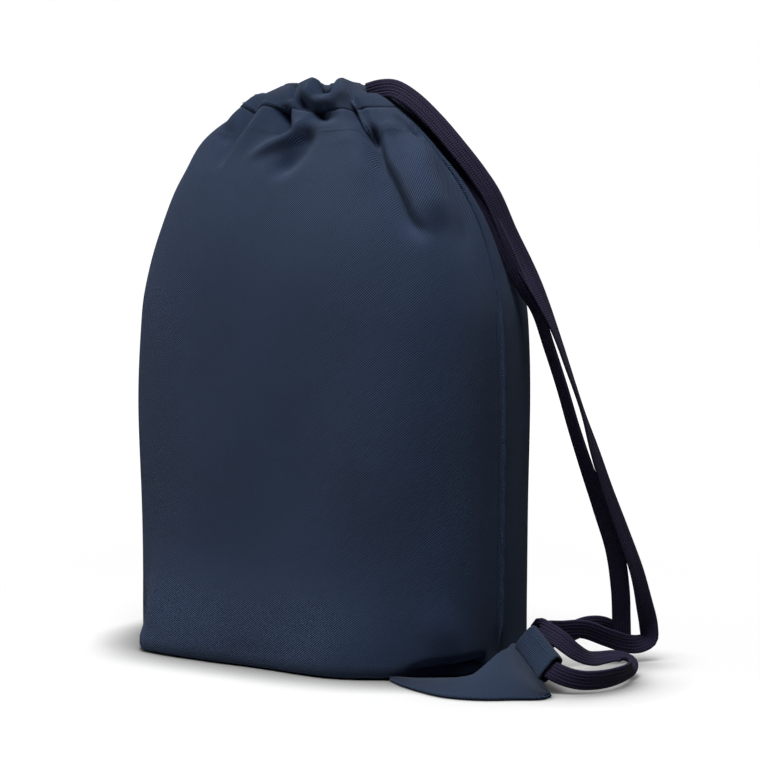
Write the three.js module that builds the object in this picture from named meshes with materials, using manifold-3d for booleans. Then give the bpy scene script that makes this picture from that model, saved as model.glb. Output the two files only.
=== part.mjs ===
// Drawstring backpack, stuffed and standing, drawn shut, with its two shoulder cords.
// Millimetres, +Z up, the front panel faces -Y. The right cord is the one on +X.
import * as THREE from "three";
import { mergeVertices } from "three/addons/utils/BufferGeometryUtils.js";
import Module from "manifold-3d";

const wasm = await Module();
wasm.setup();
const { Manifold, Mesh } = wasm;

// ---- driving dimensions ----
const TOTAL_HEIGHT = 370;
const WALL = 3; // shell thickness that stands for the cloth
const GAP = 0.3; // air left between neighbouring pieces
const BIG = 500;
const RING_SIDES = 56;

// Outer form of the stuffed bag: height, half width, half depth, sideways shift, squareness.
const BODY = [
  { z: 0, a: 121, b: 59, cx: 0, n: 4 },
  { z: 7, a: 128, b: 66, cx: 0, n: 4 },
  { z: 90, a: 129, b: 67, cx: 0, n: 4 },
  { z: 220, a: 126, b: 66, cx: 0, n: 4 },
  { z: 264, a: 118, b: 62, cx: -3, n: 3.8 },
  { z: 289, a: 107, b: 55, cx: -5, n: 3.4 },
  { z: 314, a: 90, b: 46, cx: -7, n: 3 },
  { z: 330, a: 77, b: 37, cx: -8, n: 2.7 },
  { z: 341, a: 58, b: 27, cx: -7, n: 2.3 },
  { z: 346, a: 37, b: 19, cx: -6, n: 2 },
];
const SHOULDER_Z = 280; // above this the wall slopes in, so the inside is lowered as well
const SEAM_Y = -6; // the side seams lie a little in front of the middle
const SEAM = { width: 3, proud: 2.4, bottom: 34, top: 318 };

// Drawcord channel: a flattened ring of hemmed cloth round the mouth.
const CHANNEL = { cx: -6, a: 37, b: 19, holeA: 27.5, holeB: 9.5, wall: 1.3, bottom: 346.4 };
const CHANNEL_END = 30; // half length of the cloth ring; the cords leave past it
const HEM_STITCH = { proud: 0.8, bottom: 348.6, height: 1.5 };

// Flat cord 12 mm wide, drawn as a round one of about the same section.
const CORD_RADIUS = 2.5;
const CORD_SIDES = 8;
const RUN_A = 32.2;
const RUN_B = 14.2;
const RIGHT_RUN_Z = 362.5;
const LEFT_RUN_Z = 353.5;
const RUN_END = 43; // the run ends just outside the channel, where the strands begin

// Bottom corner flap ("ear") and the cloth tab sewn on its sloping edge.
const EAR_FLOOR = [122, -76];
const EAR_TIP = [188, -46];
const EAR_APEX = [141, -12];
const EAR_ROOTS = [[98, -66], [112, -10]];
const EAR_APEX_Z = 24;
const EAR_EDGE_Z = 4;
const TAB = { length: 30, width: 18, thickness: 10, slotWidth: 14, slotThickness: 7 };
const TAB_STITCH = { length: 25, width: 1.6, height: 0.8, inset: 2.5 };

// The left corner is the right one handed over and folded behind the bag.
const LEFT_SHIFT = [-88, -62];

const NAVY = 0x26344b;
const NAVY_DARK = 0x1d283b;
const THREAD = 0x2f3f5c;
const CORD = 0x16142b;
const CLOTH_FINISH = { roughness: 0.85, metalness: 0 };

// ---- solids ----
/** Points of a superellipse in plan, counter-clockwise. */
function planRing({ z, a, b, cx, n }) {
  const points = [];
  for (let i = 0; i < RING_SIDES; i += 1) {
    const t = (2 * Math.PI * i) / RING_SIDES;
    const c = Math.cos(t);
    const s = Math.sin(t);
    const x = cx + a * Math.sign(c) * Math.abs(c) ** (2 / n);
    const y = b * Math.sign(s) * Math.abs(s) ** (2 / n);
    points.push([x, y, z]);
  }
  return points;
}

/** Closed solid through a stack of plan rings. */
function loft(stations) {
  const vertices = stations.flatMap((station) => planRing(station));
  const triangles = [];
  const last = (stations.length - 1) * RING_SIDES;
  for (let row = 0; row < last; row += RING_SIDES) {
    for (let i = 0; i < RING_SIDES; i += 1) {
      const j = (i + 1) % RING_SIDES;
      triangles.push([row + i, row + j, row + RING_SIDES + j]);
      triangles.push([row + i, row + RING_SIDES + j, row + RING_SIDES + i]);
    }
  }
  for (let i = 1; i < RING_SIDES - 1; i += 1) {
    triangles.push([0, i + 1, i]);
    triangles.push([last, last + i, last + i + 1]);
  }
  return new Manifold(new Mesh({
    numProp: 3,
    vertProperties: new Float32Array(vertices.flat()),
    triVerts: new Uint32Array(triangles.flat()),
  }));
}

/** Upright prism with an elliptical plan. */
function ovalPrism(a, b, bottom, top) {
  return loft([bottom, top].map((z) => ({ z, a, b, cx: CHANNEL.cx, n: 2 })));
}

/** Axis-aligned block from its two far corners. */
function block(low, high) {
  const size = high.map((value, i) => value - low[i]);
  return Manifold.cube(size, false).translate(low);
}

/** The bag's outer form, grown by a clearance on every side. */
function bodyForm(grow) {
  return loft(BODY.map((s, i) => ({
    ...s,
    a: s.a + grow,
    b: s.b + grow,
    z: i === 0 ? s.z - grow : s.z + (s.z > SHOULDER_Z ? grow : 0),
  })));
}

/** Hollow shell of the bag with its mouth open. */
function bodyShell() {
  const inside = BODY.slice(0, -1).map((s, i) => ({
    ...s,
    a: s.a - WALL,
    b: s.b - WALL,
    z: i === 0 ? WALL : s.z - (s.z > SHOULDER_Z ? WALL : 0),
  }));
  const neck = { a: CHANNEL.holeA, b: CHANNEL.holeB, cx: CHANNEL.cx, n: 2 };
  const top = BODY[BODY.length - 1].z;
  inside.push({ ...neck, z: top - WALL }, { ...neck, z: top + WALL });
  return bodyForm(0).subtract(loft(inside));
}

/** Half of a solid on one side of the plane y = level. */
function halfOf(solid, level, side) {
  const low = side < 0 ? [-BIG, -BIG, -BIG] : [-BIG, level + GAP / 2, -BIG];
  const high = side < 0 ? [BIG, level - GAP / 2, BIG] : [BIG, BIG, BIG];
  return solid.intersect(block(low, high));
}

/** Raised rib of the side seam. */
function sideSeam(side) {
  const rib = bodyForm(SEAM.proud).subtract(bodyForm(GAP));
  const near = side > 0 ? 0 : -BIG;
  const half = SEAM.width / 2;
  return rib.intersect(block([near, SEAM_Y - half, SEAM.bottom], [near + BIG, SEAM_Y + half, SEAM.top]));
}

/** Front or back half of the cloth channel, hollow for the cords and open at both ends. */
function channelHalf(side) {
  const c = CHANNEL;
  const top = TOTAL_HEIGHT;
  const outer = ovalPrism(c.a, c.b, c.bottom, top);
  const hole = ovalPrism(c.holeA, c.holeB, c.bottom - 1, top + 1);
  const lane = ovalPrism(c.a - c.wall, c.b - c.wall, c.bottom + c.wall, top - c.wall)
    .subtract(ovalPrism(c.holeA + c.wall, c.holeB + c.wall, c.bottom, top));
  const span = block([c.cx - CHANNEL_END, -BIG, 0], [c.cx + CHANNEL_END, BIG, BIG]);
  return halfOf(outer.subtract(hole).subtract(lane).intersect(span), 0, side);
}

/** Row of stitches round the outside of the channel's lower edge. */
function hemStitch(side) {
  const near = CHANNEL.a + GAP;
  const far = near + HEM_STITCH.proud;
  const flat = CHANNEL.b - CHANNEL.a;
  const top = HEM_STITCH.bottom + HEM_STITCH.height;
  const band = ovalPrism(far, far + flat, HEM_STITCH.bottom, top)
    .subtract(ovalPrism(near, near + flat, 0, BIG));
  const span = block(
    [CHANNEL.cx - CHANNEL_END, -BIG, 0],
    [CHANNEL.cx + CHANNEL_END, BIG, BIG],
  );
  const keep = side < 0 ? block([-BIG, -BIG, 0], [BIG, -2, BIG]) : block([-BIG, 2, 0], [BIG, BIG, BIG]);
  return band.intersect(span).intersect(keep);
}

// ---- bottom corner ----
const earEdge = new THREE.Vector3(...EAR_TIP, EAR_EDGE_Z)
  .sub(new THREE.Vector3(...EAR_APEX, EAR_APEX_Z));
const tabAlong = earEdge.clone().normalize();
const earRise = new THREE.Vector3(...EAR_APEX, EAR_APEX_Z)
  .sub(new THREE.Vector3(...EAR_FLOOR, EAR_EDGE_Z));
const tabNormal = earRise.clone().cross(earEdge).normalize().negate();
const tabOut = tabAlong.clone().cross(tabNormal).normalize();
if (tabNormal.z < 0) {
  tabNormal.negate();
}
if (tabOut.x < 0) {
  tabOut.negate();
}
const tabMiddle = new THREE.Vector3(...EAR_APEX, EAR_APEX_Z)
  .addScaledVector(earEdge, 0.5)
  .addScaledVector(tabOut, TAB.width / 2)
  .add(new THREE.Vector3(0, 0, 2));

/** Point given along, across and above the tab. */
function onTab(along, across, above) {
  return tabMiddle.clone()
    .addScaledVector(tabAlong, along)
    .addScaledVector(tabOut, across)
    .addScaledVector(tabNormal, above);
}

/** Block in the tab's own directions, from its middle and its full sizes. */
function tabBlock(length, width, thickness, across = 0, above = 0) {
  const corners = [];
  for (const i of [-0.5, 0.5]) {
    for (const j of [-0.5, 0.5]) {
      for (const k of [-0.5, 0.5]) {
        corners.push(onTab(i * length, across + j * width, above + k * thickness).toArray());
      }
    }
  }
  return Manifold.hull(corners);
}

/** Flattened bottom corner of the bag, lying out on the floor. */
function cornerEar() {
  const low = [EAR_FLOOR, EAR_TIP, EAR_APEX, ...EAR_ROOTS].map(([x, y]) => [x, y, 0]);
  const high = [
    [...EAR_FLOOR, EAR_EDGE_Z],
    [...EAR_TIP, EAR_EDGE_Z],
    [...EAR_APEX, EAR_APEX_Z],
    [...EAR_ROOTS[0], EAR_EDGE_Z],
    [...EAR_ROOTS[1], EAR_APEX_Z],
  ];
  const clear = 2 * GAP;
  return Manifold.hull([...low, ...high])
    .subtract(tabBlock(TAB.length + clear, TAB.width + clear, TAB.thickness + clear));
}

/** Folded cloth sleeve on the ear's edge. */
function cornerTab() {
  return tabBlock(TAB.length, TAB.width, TAB.thickness)
    .subtract(tabBlock(TAB.length * 2, TAB.slotWidth, TAB.slotThickness));
}

/** Row of stitches that holds the sleeve to the ear. */
function tabStitch() {
  const { length, width, height, inset } = TAB_STITCH;
  const above = TAB.thickness / 2 + GAP + height / 2;
  return tabBlock(length, width, height, inset - TAB.width / 2, above);
}

/** Hand a right-hand solid over to the left corner behind the bag. */
function toLeftCorner(solid) {
  return solid.mirror([1, -1, 0]).translate([...LEFT_SHIFT, 0]);
}

function toLeftPoint([x, y, z]) {
  return [y + LEFT_SHIFT[0], x + LEFT_SHIFT[1], z];
}

// ---- cords: centre lines chosen by hand, in order along the cord ----
/** Run of one cord round the channel, leaving at one side. */
function channelRun(side, z) {
  const points = [];
  const openAngle = 22;
  for (let degrees = openAngle; degrees <= 360 - openAngle; degrees += 12) {
    const t = THREE.MathUtils.degToRad(degrees);
    points.push([CHANNEL.cx + side * RUN_A * Math.cos(t), RUN_B * Math.sin(t), z]);
  }
  const end = CHANNEL.cx + side * RUN_END;
  return [[end, 4, z], [CHANNEL.cx + side * 35, 4, z], ...points,
    [CHANNEL.cx + side * 35, -4, z], [end, -4, z]];
}

const RIGHT_FRONT_STRAND = [
  [42, -4, 363], [50, -3, 365], [61, -1, 361], [75, 2, 349], [92, 5, 325], [104, 8, 309],
  [114, 10, 296], [126, 13, 274], [136, 15, 254], [144, 16, 238], [154, 18, 214], [162, 22, 189],
  [169, 27, 164], [175, 33, 138], [180, 41, 113], [186, 50, 87], [193, 60, 60], [196, 68, 37],
  [196, 73, 20],
];
const RIGHT_REAR_STRAND = [
  [42, 4, 361.5], [50, 5, 357], [64, 6, 346], [83, 7, 325], [97, 8, 305], [109, 9, 288],
  [121, 11, 266], [134, 13, 241], [143, 14, 226], [147, 17, 204], [155, 21, 178], [161, 26, 152],
  [167, 32, 127], [173, 40, 101], [180, 49, 74], [182, 57, 47], [181, 61, 27], [181, 62, 14],
];
const INNER_BAND = [
  [180.9, 61.9, 12.2], [179.5, 59.5, 7.5], [174, 53, 4.5], [166, 41, 4.5], [160, 26, 8],
  [155, 9, 15], [153, -2, 21], [154, -9, 24.5],
];
const OUTER_BAND = [
  [189, 15.5, 17], [188, 0, 21], [183, -9, 28], [173, -12, 34.5], [162, -10, 38], [154, -2, 38],
  [152, 8, 36], [158, 18, 31], [168, 31, 25], [178, 45, 17], [188, 58, 10], [195, 69, 7.5],
  [197, 73, 11], [196, 73.2, 18.4],
];
const TAB_RUN = [-17, -8, 0, 8, 17].map((along) => onTab(along, 0, 0).toArray());
const FLOOR_LOOP = [
  onTab(17.3, 0, 0).toArray(), [192, -37, 8], [201, -35, 5.5], [209, -26, 5], [213, -12, 5],
  [213, 4, 5.5], [209, 18, 7], [202, 27, 10], [194, 27, 13.5], [189.8, 17.8, 16.2],
];
const LEFT_FRONT_STRAND = [
  [-54.5, -3.5, 353.3], [-61, 2, 352], [-66, 10, 349], [-68, 24, 344], [-65, 40, 334],
  [-61, 52, 315], [-57, 61, 295], [-53, 69, 268], [-49, 76, 240], [-45, 82, 200], [-41, 88, 150],
  [-36, 97, 100], [-31, 107, 60], [-27, 115, 35], [-26, 119, 14],
];
const LEFT_REAR_STRAND = [
  [-54.5, 4, 354], [-58, 11, 356], [-59, 20, 355], [-57, 36, 347], [-54, 50, 333],
  [-51, 63, 315], [-47, 71, 292], [-43, 79, 265], [-39, 85, 235], [-35, 92, 195], [-30, 101, 150],
  [-25, 111, 100], [-19, 121, 60], [-16, 129, 38], [-15, 134, 20],
];

/** Round cord along a centre line. */
function cordGeometry(points) {
  const curve = new THREE.CatmullRomCurve3(
    points.map((p) => new THREE.Vector3(...p)), false, "centripetal",
  );
  const section = new THREE.Shape();
  for (let i = 0; i < CORD_SIDES; i += 1) {
    const t = (2 * Math.PI * i) / CORD_SIDES;
    section[i === 0 ? "moveTo" : "lineTo"](CORD_RADIUS * Math.cos(t), CORD_RADIUS * Math.sin(t));
  }
  section.closePath();
  const steps = Math.max(4, Math.min(48, Math.round(curve.getLength() / 9)));
  const swept = new THREE.ExtrudeGeometry(section, { extrudePath: curve, steps, bevelEnabled: false });
  return mergeVertices(swept, 1e-4);
}

// ---- assembly ----
const bag = new THREE.Group();
bag.name = "drawstring_backpack";

/** three.js geometry of a manifold solid. */
function toGeometry(solid) {
  const mesh = solid.getMesh();
  const geometry = new THREE.BufferGeometry();
  geometry.setAttribute("position", new THREE.BufferAttribute(mesh.vertProperties, 3));
  geometry.setIndex(new THREE.BufferAttribute(mesh.triVerts, 1));
  return geometry;
}

/** Add one named sub-part. */
function add(name, geometry, color) {
  geometry.computeVertexNormals();
  const mesh = new THREE.Mesh(geometry, new THREE.MeshStandardMaterial({ color, ...CLOTH_FINISH }));
  mesh.name = name;
  bag.add(mesh);
}

const shell = bodyShell();
const clearOfBody = bodyForm(GAP);
const ear = cornerEar();
add("front_panel", toGeometry(halfOf(shell, SEAM_Y, -1)), NAVY);
add("back_panel", toGeometry(halfOf(shell, SEAM_Y, 1)), NAVY);
add("right_side_seam", toGeometry(sideSeam(1)), NAVY_DARK);
add("left_side_seam", toGeometry(sideSeam(-1)), NAVY_DARK);
add("front_channel", toGeometry(channelHalf(-1)), NAVY);
add("back_channel", toGeometry(channelHalf(1)), NAVY);
add("front_hem_stitch", toGeometry(hemStitch(-1)), THREAD);
add("back_hem_stitch", toGeometry(hemStitch(1)), THREAD);
add("right_ear", toGeometry(ear.subtract(clearOfBody)), NAVY);
add("left_ear", toGeometry(toLeftCorner(ear).subtract(clearOfBody)), NAVY);
add("right_tab", toGeometry(cornerTab()), NAVY);
add("left_tab", toGeometry(toLeftCorner(cornerTab())), NAVY);
add("right_tab_stitch", toGeometry(tabStitch()), THREAD);
add("left_tab_stitch", toGeometry(toLeftCorner(tabStitch())), THREAD);

add("right_cord_channel_run", cordGeometry(channelRun(1, RIGHT_RUN_Z)), CORD);
add("left_cord_channel_run", cordGeometry(channelRun(-1, LEFT_RUN_Z)), CORD);
add("right_cord_front_strand", cordGeometry(RIGHT_FRONT_STRAND), CORD);
add("right_cord_rear_strand", cordGeometry(RIGHT_REAR_STRAND), CORD);
add("left_cord_front_strand", cordGeometry(LEFT_FRONT_STRAND), CORD);
add("left_cord_rear_strand", cordGeometry(LEFT_REAR_STRAND), CORD);
const LOWER_CORD = {
  inner_band: INNER_BAND,
  tab_run: TAB_RUN,
  floor_loop: FLOOR_LOOP,
  outer_band: OUTER_BAND,
};
for (const [name, points] of Object.entries(LOWER_CORD)) {
  add(`right_cord_${name}`, cordGeometry(points), CORD);
  add(`left_cord_${name}`, cordGeometry(points.map(toLeftPoint)), CORD);
}

// The origin is the middle of the floor area of everything but the cords.
const extent = new THREE.Box3();
for (const mesh of bag.children) {
  if (!mesh.name.includes("cord")) {
    extent.expandByObject(mesh);
  }
}
const middle = extent.getCenter(new THREE.Vector3());
for (const mesh of bag.children) {
  mesh.geometry.translate(-middle.x, -middle.y, -extent.min.z);
}

export default bag;
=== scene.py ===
"""Visual model of a stuffed drawstring backpack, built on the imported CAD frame."""

import logging
import math
from collections.abc import Iterable, Sequence
from dataclasses import dataclass, field, replace
from enum import Enum

import bpy
import numpy as np
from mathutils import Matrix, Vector


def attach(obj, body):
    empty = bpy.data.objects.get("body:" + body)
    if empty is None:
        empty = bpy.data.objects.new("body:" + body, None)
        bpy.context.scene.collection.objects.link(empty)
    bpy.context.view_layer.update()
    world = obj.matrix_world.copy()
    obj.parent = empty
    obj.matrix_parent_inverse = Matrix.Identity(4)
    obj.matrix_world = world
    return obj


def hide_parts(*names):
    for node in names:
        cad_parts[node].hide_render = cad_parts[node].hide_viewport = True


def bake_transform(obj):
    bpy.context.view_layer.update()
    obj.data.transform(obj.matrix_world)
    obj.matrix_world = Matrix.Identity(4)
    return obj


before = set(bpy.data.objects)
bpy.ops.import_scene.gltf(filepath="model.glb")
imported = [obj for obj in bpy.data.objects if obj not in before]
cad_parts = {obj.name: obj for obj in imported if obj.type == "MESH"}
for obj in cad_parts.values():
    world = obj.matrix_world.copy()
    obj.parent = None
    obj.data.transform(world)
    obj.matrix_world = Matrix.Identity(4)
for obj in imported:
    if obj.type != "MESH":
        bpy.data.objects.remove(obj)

LOG = logging.getLogger("backpack")
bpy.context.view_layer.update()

MM = 0.001
# The bag's own upright axis in the row frame. Shapes below are written in millimetres from it.
BAG_AXIS = np.array([-0.012, -0.025, 0.0])
# The left bottom corner is the right one, swapped about the diagonal and shifted by this much.
LEFT_SHIFT = np.array([-88.0, -62.0, 0.0])

SPLINE_STEPS = 24

Array = np.ndarray
Point = tuple[float, float, float]
Colour = tuple[float, float, float, float]
WHITE: Colour = (1.0, 1.0, 1.0, 1.0)


class Side(Enum):
    """Which half of the bag a piece belongs to, seen from the front."""

    RIGHT = "right"
    LEFT = "left"


class Half(Enum):
    """Front or back cloth."""

    FRONT = "front"
    BACK = "back"


# ---------------------------------------------------------------- small tools
def to_frame(points: Array) -> Array:
    """Turn millimetres from the bag's axis into metres in the row frame.

    Args:
        points: Array whose last axis holds x, y and z.

    Returns:
        Array of the same shape, in metres.
    """
    return np.asarray(points, float) * MM + BAG_AXIS


def to_left(points: Array) -> Array:
    """Hand points of the right bottom corner over to the left corner behind the bag.

    Args:
        points: Array whose last axis holds x, y and z in millimetres.

    Returns:
        The same points swapped about the diagonal and shifted.
    """
    swapped = np.asarray(points, float)[..., [1, 0, 2]]
    return swapped + LEFT_SHIFT


def smoothstep(value: Array) -> Array:
    """Ease a number from 0 to 1.

    Args:
        value: Any numbers.

    Returns:
        0 below 0, 1 above 1 and a smooth curve between.
    """
    t = np.clip(value, 0.0, 1.0)
    return t * t * (3.0 - 2.0 * t)


def ramp(value: Array, start: float, end: float) -> Array:
    """Ease from 0 to 1 between two values, which may fall.

    Args:
        value: Any numbers.
        start: Value at which the ramp is 0.
        end: Value at which the ramp is 1.

    Returns:
        Numbers between 0 and 1.
    """
    return smoothstep((value - start) / (end - start))


def unit(vectors: Array) -> Array:
    """Scale vectors to length one.

    Args:
        vectors: Array whose last axis holds x, y and z.

    Returns:
        Array of the same shape.
    """
    length = np.linalg.norm(vectors, axis=-1, keepdims=True)
    return vectors / np.maximum(length, 1e-9)


def steady_curve(knots: Array, values: Array, at: Array) -> Array:
    """Interpolate values without overshoot between the knots.

    Args:
        knots: Rising positions.
        values: One value for each knot.
        at: Positions to read.

    Returns:
        The interpolated values.
    """
    step = np.diff(knots)
    rise = np.diff(values) / step
    slope = np.zeros_like(values)
    slope[0], slope[-1] = rise[0], rise[-1]
    for i in range(1, len(values) - 1):
        if rise[i - 1] * rise[i] > 0:
            slope[i] = 2.0 / (1.0 / rise[i - 1] + 1.0 / rise[i])
    cell = np.clip(np.searchsorted(knots, at, side="right") - 1, 0, len(step) - 1)
    h = step[cell]
    t = np.clip((at - knots[cell]) / h, 0.0, 1.0)
    a = (1 + 2 * t) * (1 - t) ** 2
    b = t * (1 - t) ** 2
    c = t * t * (3 - 2 * t)
    d = t * t * (t - 1)
    return a * values[cell] + b * h * slope[cell] + c * values[cell + 1] + d * h * slope[cell + 1]


def spline(points: Array, spacing: float) -> Array:
    """Run a smooth centripetal curve through points, evenly spaced.

    Args:
        points: Points the curve passes, any number of columns; the first three are x, y, z.
        spacing: Wanted distance between the results.

    Returns:
        Evenly spaced points on the curve, with the same columns.
    """
    pts = np.asarray(points, float)
    pts = np.vstack([2 * pts[0] - pts[1], pts, 2 * pts[-1] - pts[-2]])
    dense = []
    for p0, p1, p2, p3 in zip(pts, pts[1:], pts[2:], pts[3:]):
        d0, d1, d2 = (
            max(np.linalg.norm((b - a)[:3]), 1e-6) ** 0.5
            for a, b in ((p0, p1), (p1, p2), (p2, p3))
        )
        t1 = ((p1 - p0) / d0 - (p2 - p0) / (d0 + d1) + (p2 - p1) / d1) * d1
        t2 = ((p2 - p1) / d1 - (p3 - p1) / (d1 + d2) + (p3 - p2) / d2) * d1
        t = np.linspace(0.0, 1.0, SPLINE_STEPS, endpoint=False)[:, None]
        h = t * t * (3 - 2 * t)
        dense.append(p1 + (p2 - p1) * h + t1 * t * (1 - t) ** 2 - t2 * t * t * (1 - t))
    dense.append(pts[-2][None])
    line = np.vstack(dense)
    return even_spacing(line, spacing)


def even_spacing(line: Array, spacing: float) -> Array:
    """Resample a polyline at an even spacing.

    Args:
        line: Points of the line; the first three columns are x, y, z.
        spacing: Wanted distance between the results.

    Returns:
        Resampled points with the same columns.
    """
    count = max(2, int(round(path_length(line)[-1] / spacing)) + 1)
    return resample(line, count)


def resample(line: Array, count: int) -> Array:
    """Resample a polyline to a number of evenly spaced points.

    Args:
        line: Points of the line; the first three columns are x, y, z.
        count: Wanted number of points.

    Returns:
        Resampled points with the same columns.
    """
    travel = path_length(line)
    at = np.linspace(0.0, travel[-1], count)
    return np.stack([np.interp(at, travel, column) for column in line.T], axis=1)


def path_length(line: Array) -> Array:
    """Distance travelled to each point of a polyline.

    Args:
        line: Points of the line; the first three columns are x, y, z.

    Returns:
        One distance for each point, starting at 0.
    """
    steps = np.linalg.norm(np.diff(line[:, :3], axis=0), axis=1)
    return np.concatenate([[0.0], np.cumsum(steps)])


def make_mesh(name: str, points: Array, faces: Sequence[Sequence[int]], uvs: Array) -> bpy.types.Object:
    """Build a smooth-shaded mesh object in the row frame.

    Args:
        name: Name of the piece.
        points: Vertices in millimetres from the bag's axis, shape (n, 3).
        faces: Vertex numbers of each face.
        uvs: Cloth coordinates of each vertex in metres, shape (n, 2).

    Returns:
        The new object, linked to the scene.
    """
    mesh = bpy.data.meshes.new(name)
    mesh.from_pydata(to_frame(points).tolist(), [], [list(f) for f in faces])
    layer = mesh.uv_layers.new(name="cloth")
    corner = np.empty(len(mesh.loops), dtype=np.int32)
    mesh.loops.foreach_get("vertex_index", corner)
    layer.data.foreach_set("uv", np.asarray(uvs, np.float32)[corner].ravel())
    mesh.polygons.foreach_set("use_smooth", np.ones(len(mesh.polygons), dtype=bool))
    mesh.update()
    piece = bpy.data.objects.new(name, mesh)
    bpy.context.scene.collection.objects.link(piece)
    return piece


def grid_faces(rows: int, columns: int, wrap: bool = False) -> list[tuple[int, int, int, int]]:
    """Quads of a row-by-row grid of vertices.

    Args:
        rows: Number of rows.
        columns: Number of vertices in a row.
        wrap: Whether the last column joins the first.

    Returns:
        Vertex numbers of every quad, facing along row direction times column direction.
    """
    last = columns if wrap else columns - 1
    quads = []
    for r in range(rows - 1):
        for c in range(last):
            d = (c + 1) % columns
            quads.append((r * columns + c, (r + 1) * columns + c, (r + 1) * columns + d, r * columns + d))
    return quads


def tube_faces(rows: int, sides: int) -> list[tuple[int, ...]]:
    """Faces of a closed tube made of rings, with a cap at both ends.

    Args:
        rows: Number of rings.
        sides: Number of vertices in a ring.

    Returns:
        Vertex numbers of every face.
    """
    last = (rows - 1) * sides
    caps = [tuple(range(sides)), tuple(reversed(range(last, last + sides)))]
    return grid_faces(rows, sides, wrap=True) + caps


def grid_uvs(across: Array, along: Array) -> Array:
    """Cloth coordinates of a row-by-row grid.

    Args:
        across: Coordinate of each column, in metres.
        along: Coordinate of each row, in metres.

    Returns:
        One pair for each vertex, shape (rows * columns, 2).
    """
    return np.stack(np.meshgrid(across, along), axis=-1).reshape(-1, 2)


def thicken(piece: bpy.types.Object, thickness: float) -> None:
    """Give a sheet of cloth its thickness, away from the side its faces point to.

    Args:
        piece: The sheet.
        thickness: Thickness in metres.
    """
    solid = piece.modifiers.new("cloth thickness", "SOLIDIFY")
    solid.thickness = thickness
    solid.offset = -1.0


# ---------------------------------------------------------------- shader groups
class NodeGraph:
    """Thin helper that adds and links shader nodes."""

    def __init__(self, tree: bpy.types.NodeTree) -> None:
        """Keep the tree.

        Args:
            tree: Node tree of a group or a material.
        """
        self.tree = tree

    def add(self, kind: str, **settings: object) -> bpy.types.Node:
        """Add a node and set its properties.

        Args:
            kind: Blender's node type.
            **settings: Properties of the node.

        Returns:
            The new node.
        """
        node = self.tree.nodes.new(kind)
        for key, value in settings.items():
            setattr(node, key, value)
        return node

    def link(self, source: bpy.types.NodeSocket, target: bpy.types.NodeSocket) -> None:
        """Join two sockets.

        Args:
            source: Output socket.
            target: Input socket.
        """
        self.tree.links.new(source, target)

    def math(self, operation: str, *values: object, clamp: bool = False) -> bpy.types.NodeSocket:
        """Add a math node.

        Args:
            operation: Blender's operation name.
            *values: Sockets or numbers, in input order.
            clamp: Whether the result stays between 0 and 1.

        Returns:
            The result socket.
        """
        node = self.add("ShaderNodeMath", operation=operation, use_clamp=clamp)
        for target, value in zip(node.inputs, values):
            if isinstance(value, bpy.types.NodeSocket):
                self.link(value, target)
            else:
                target.default_value = value
        return node.outputs[0]

    def mix(self, factor: object, first: object, second: object) -> bpy.types.NodeSocket:
        """Mix two colours.

        Args:
            factor: Socket or number.
            first: Socket or colour at factor 0.
            second: Socket or colour at factor 1.

        Returns:
            The colour socket.
        """
        node = self.add("ShaderNodeMix", data_type="RGBA")
        for target, value in zip((node.inputs[0], node.inputs[6], node.inputs[7]), (factor, first, second)):
            if isinstance(value, bpy.types.NodeSocket):
                self.link(value, target)
            else:
                target.default_value = value
        return node.outputs[2]


class GroupKind(Enum):
    """Named shared effects."""

    TWILL = "twill weave"
    BRAID = "flat braid"
    TONE = "tone variation"
    DUST = "edge wear and dust"


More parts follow.
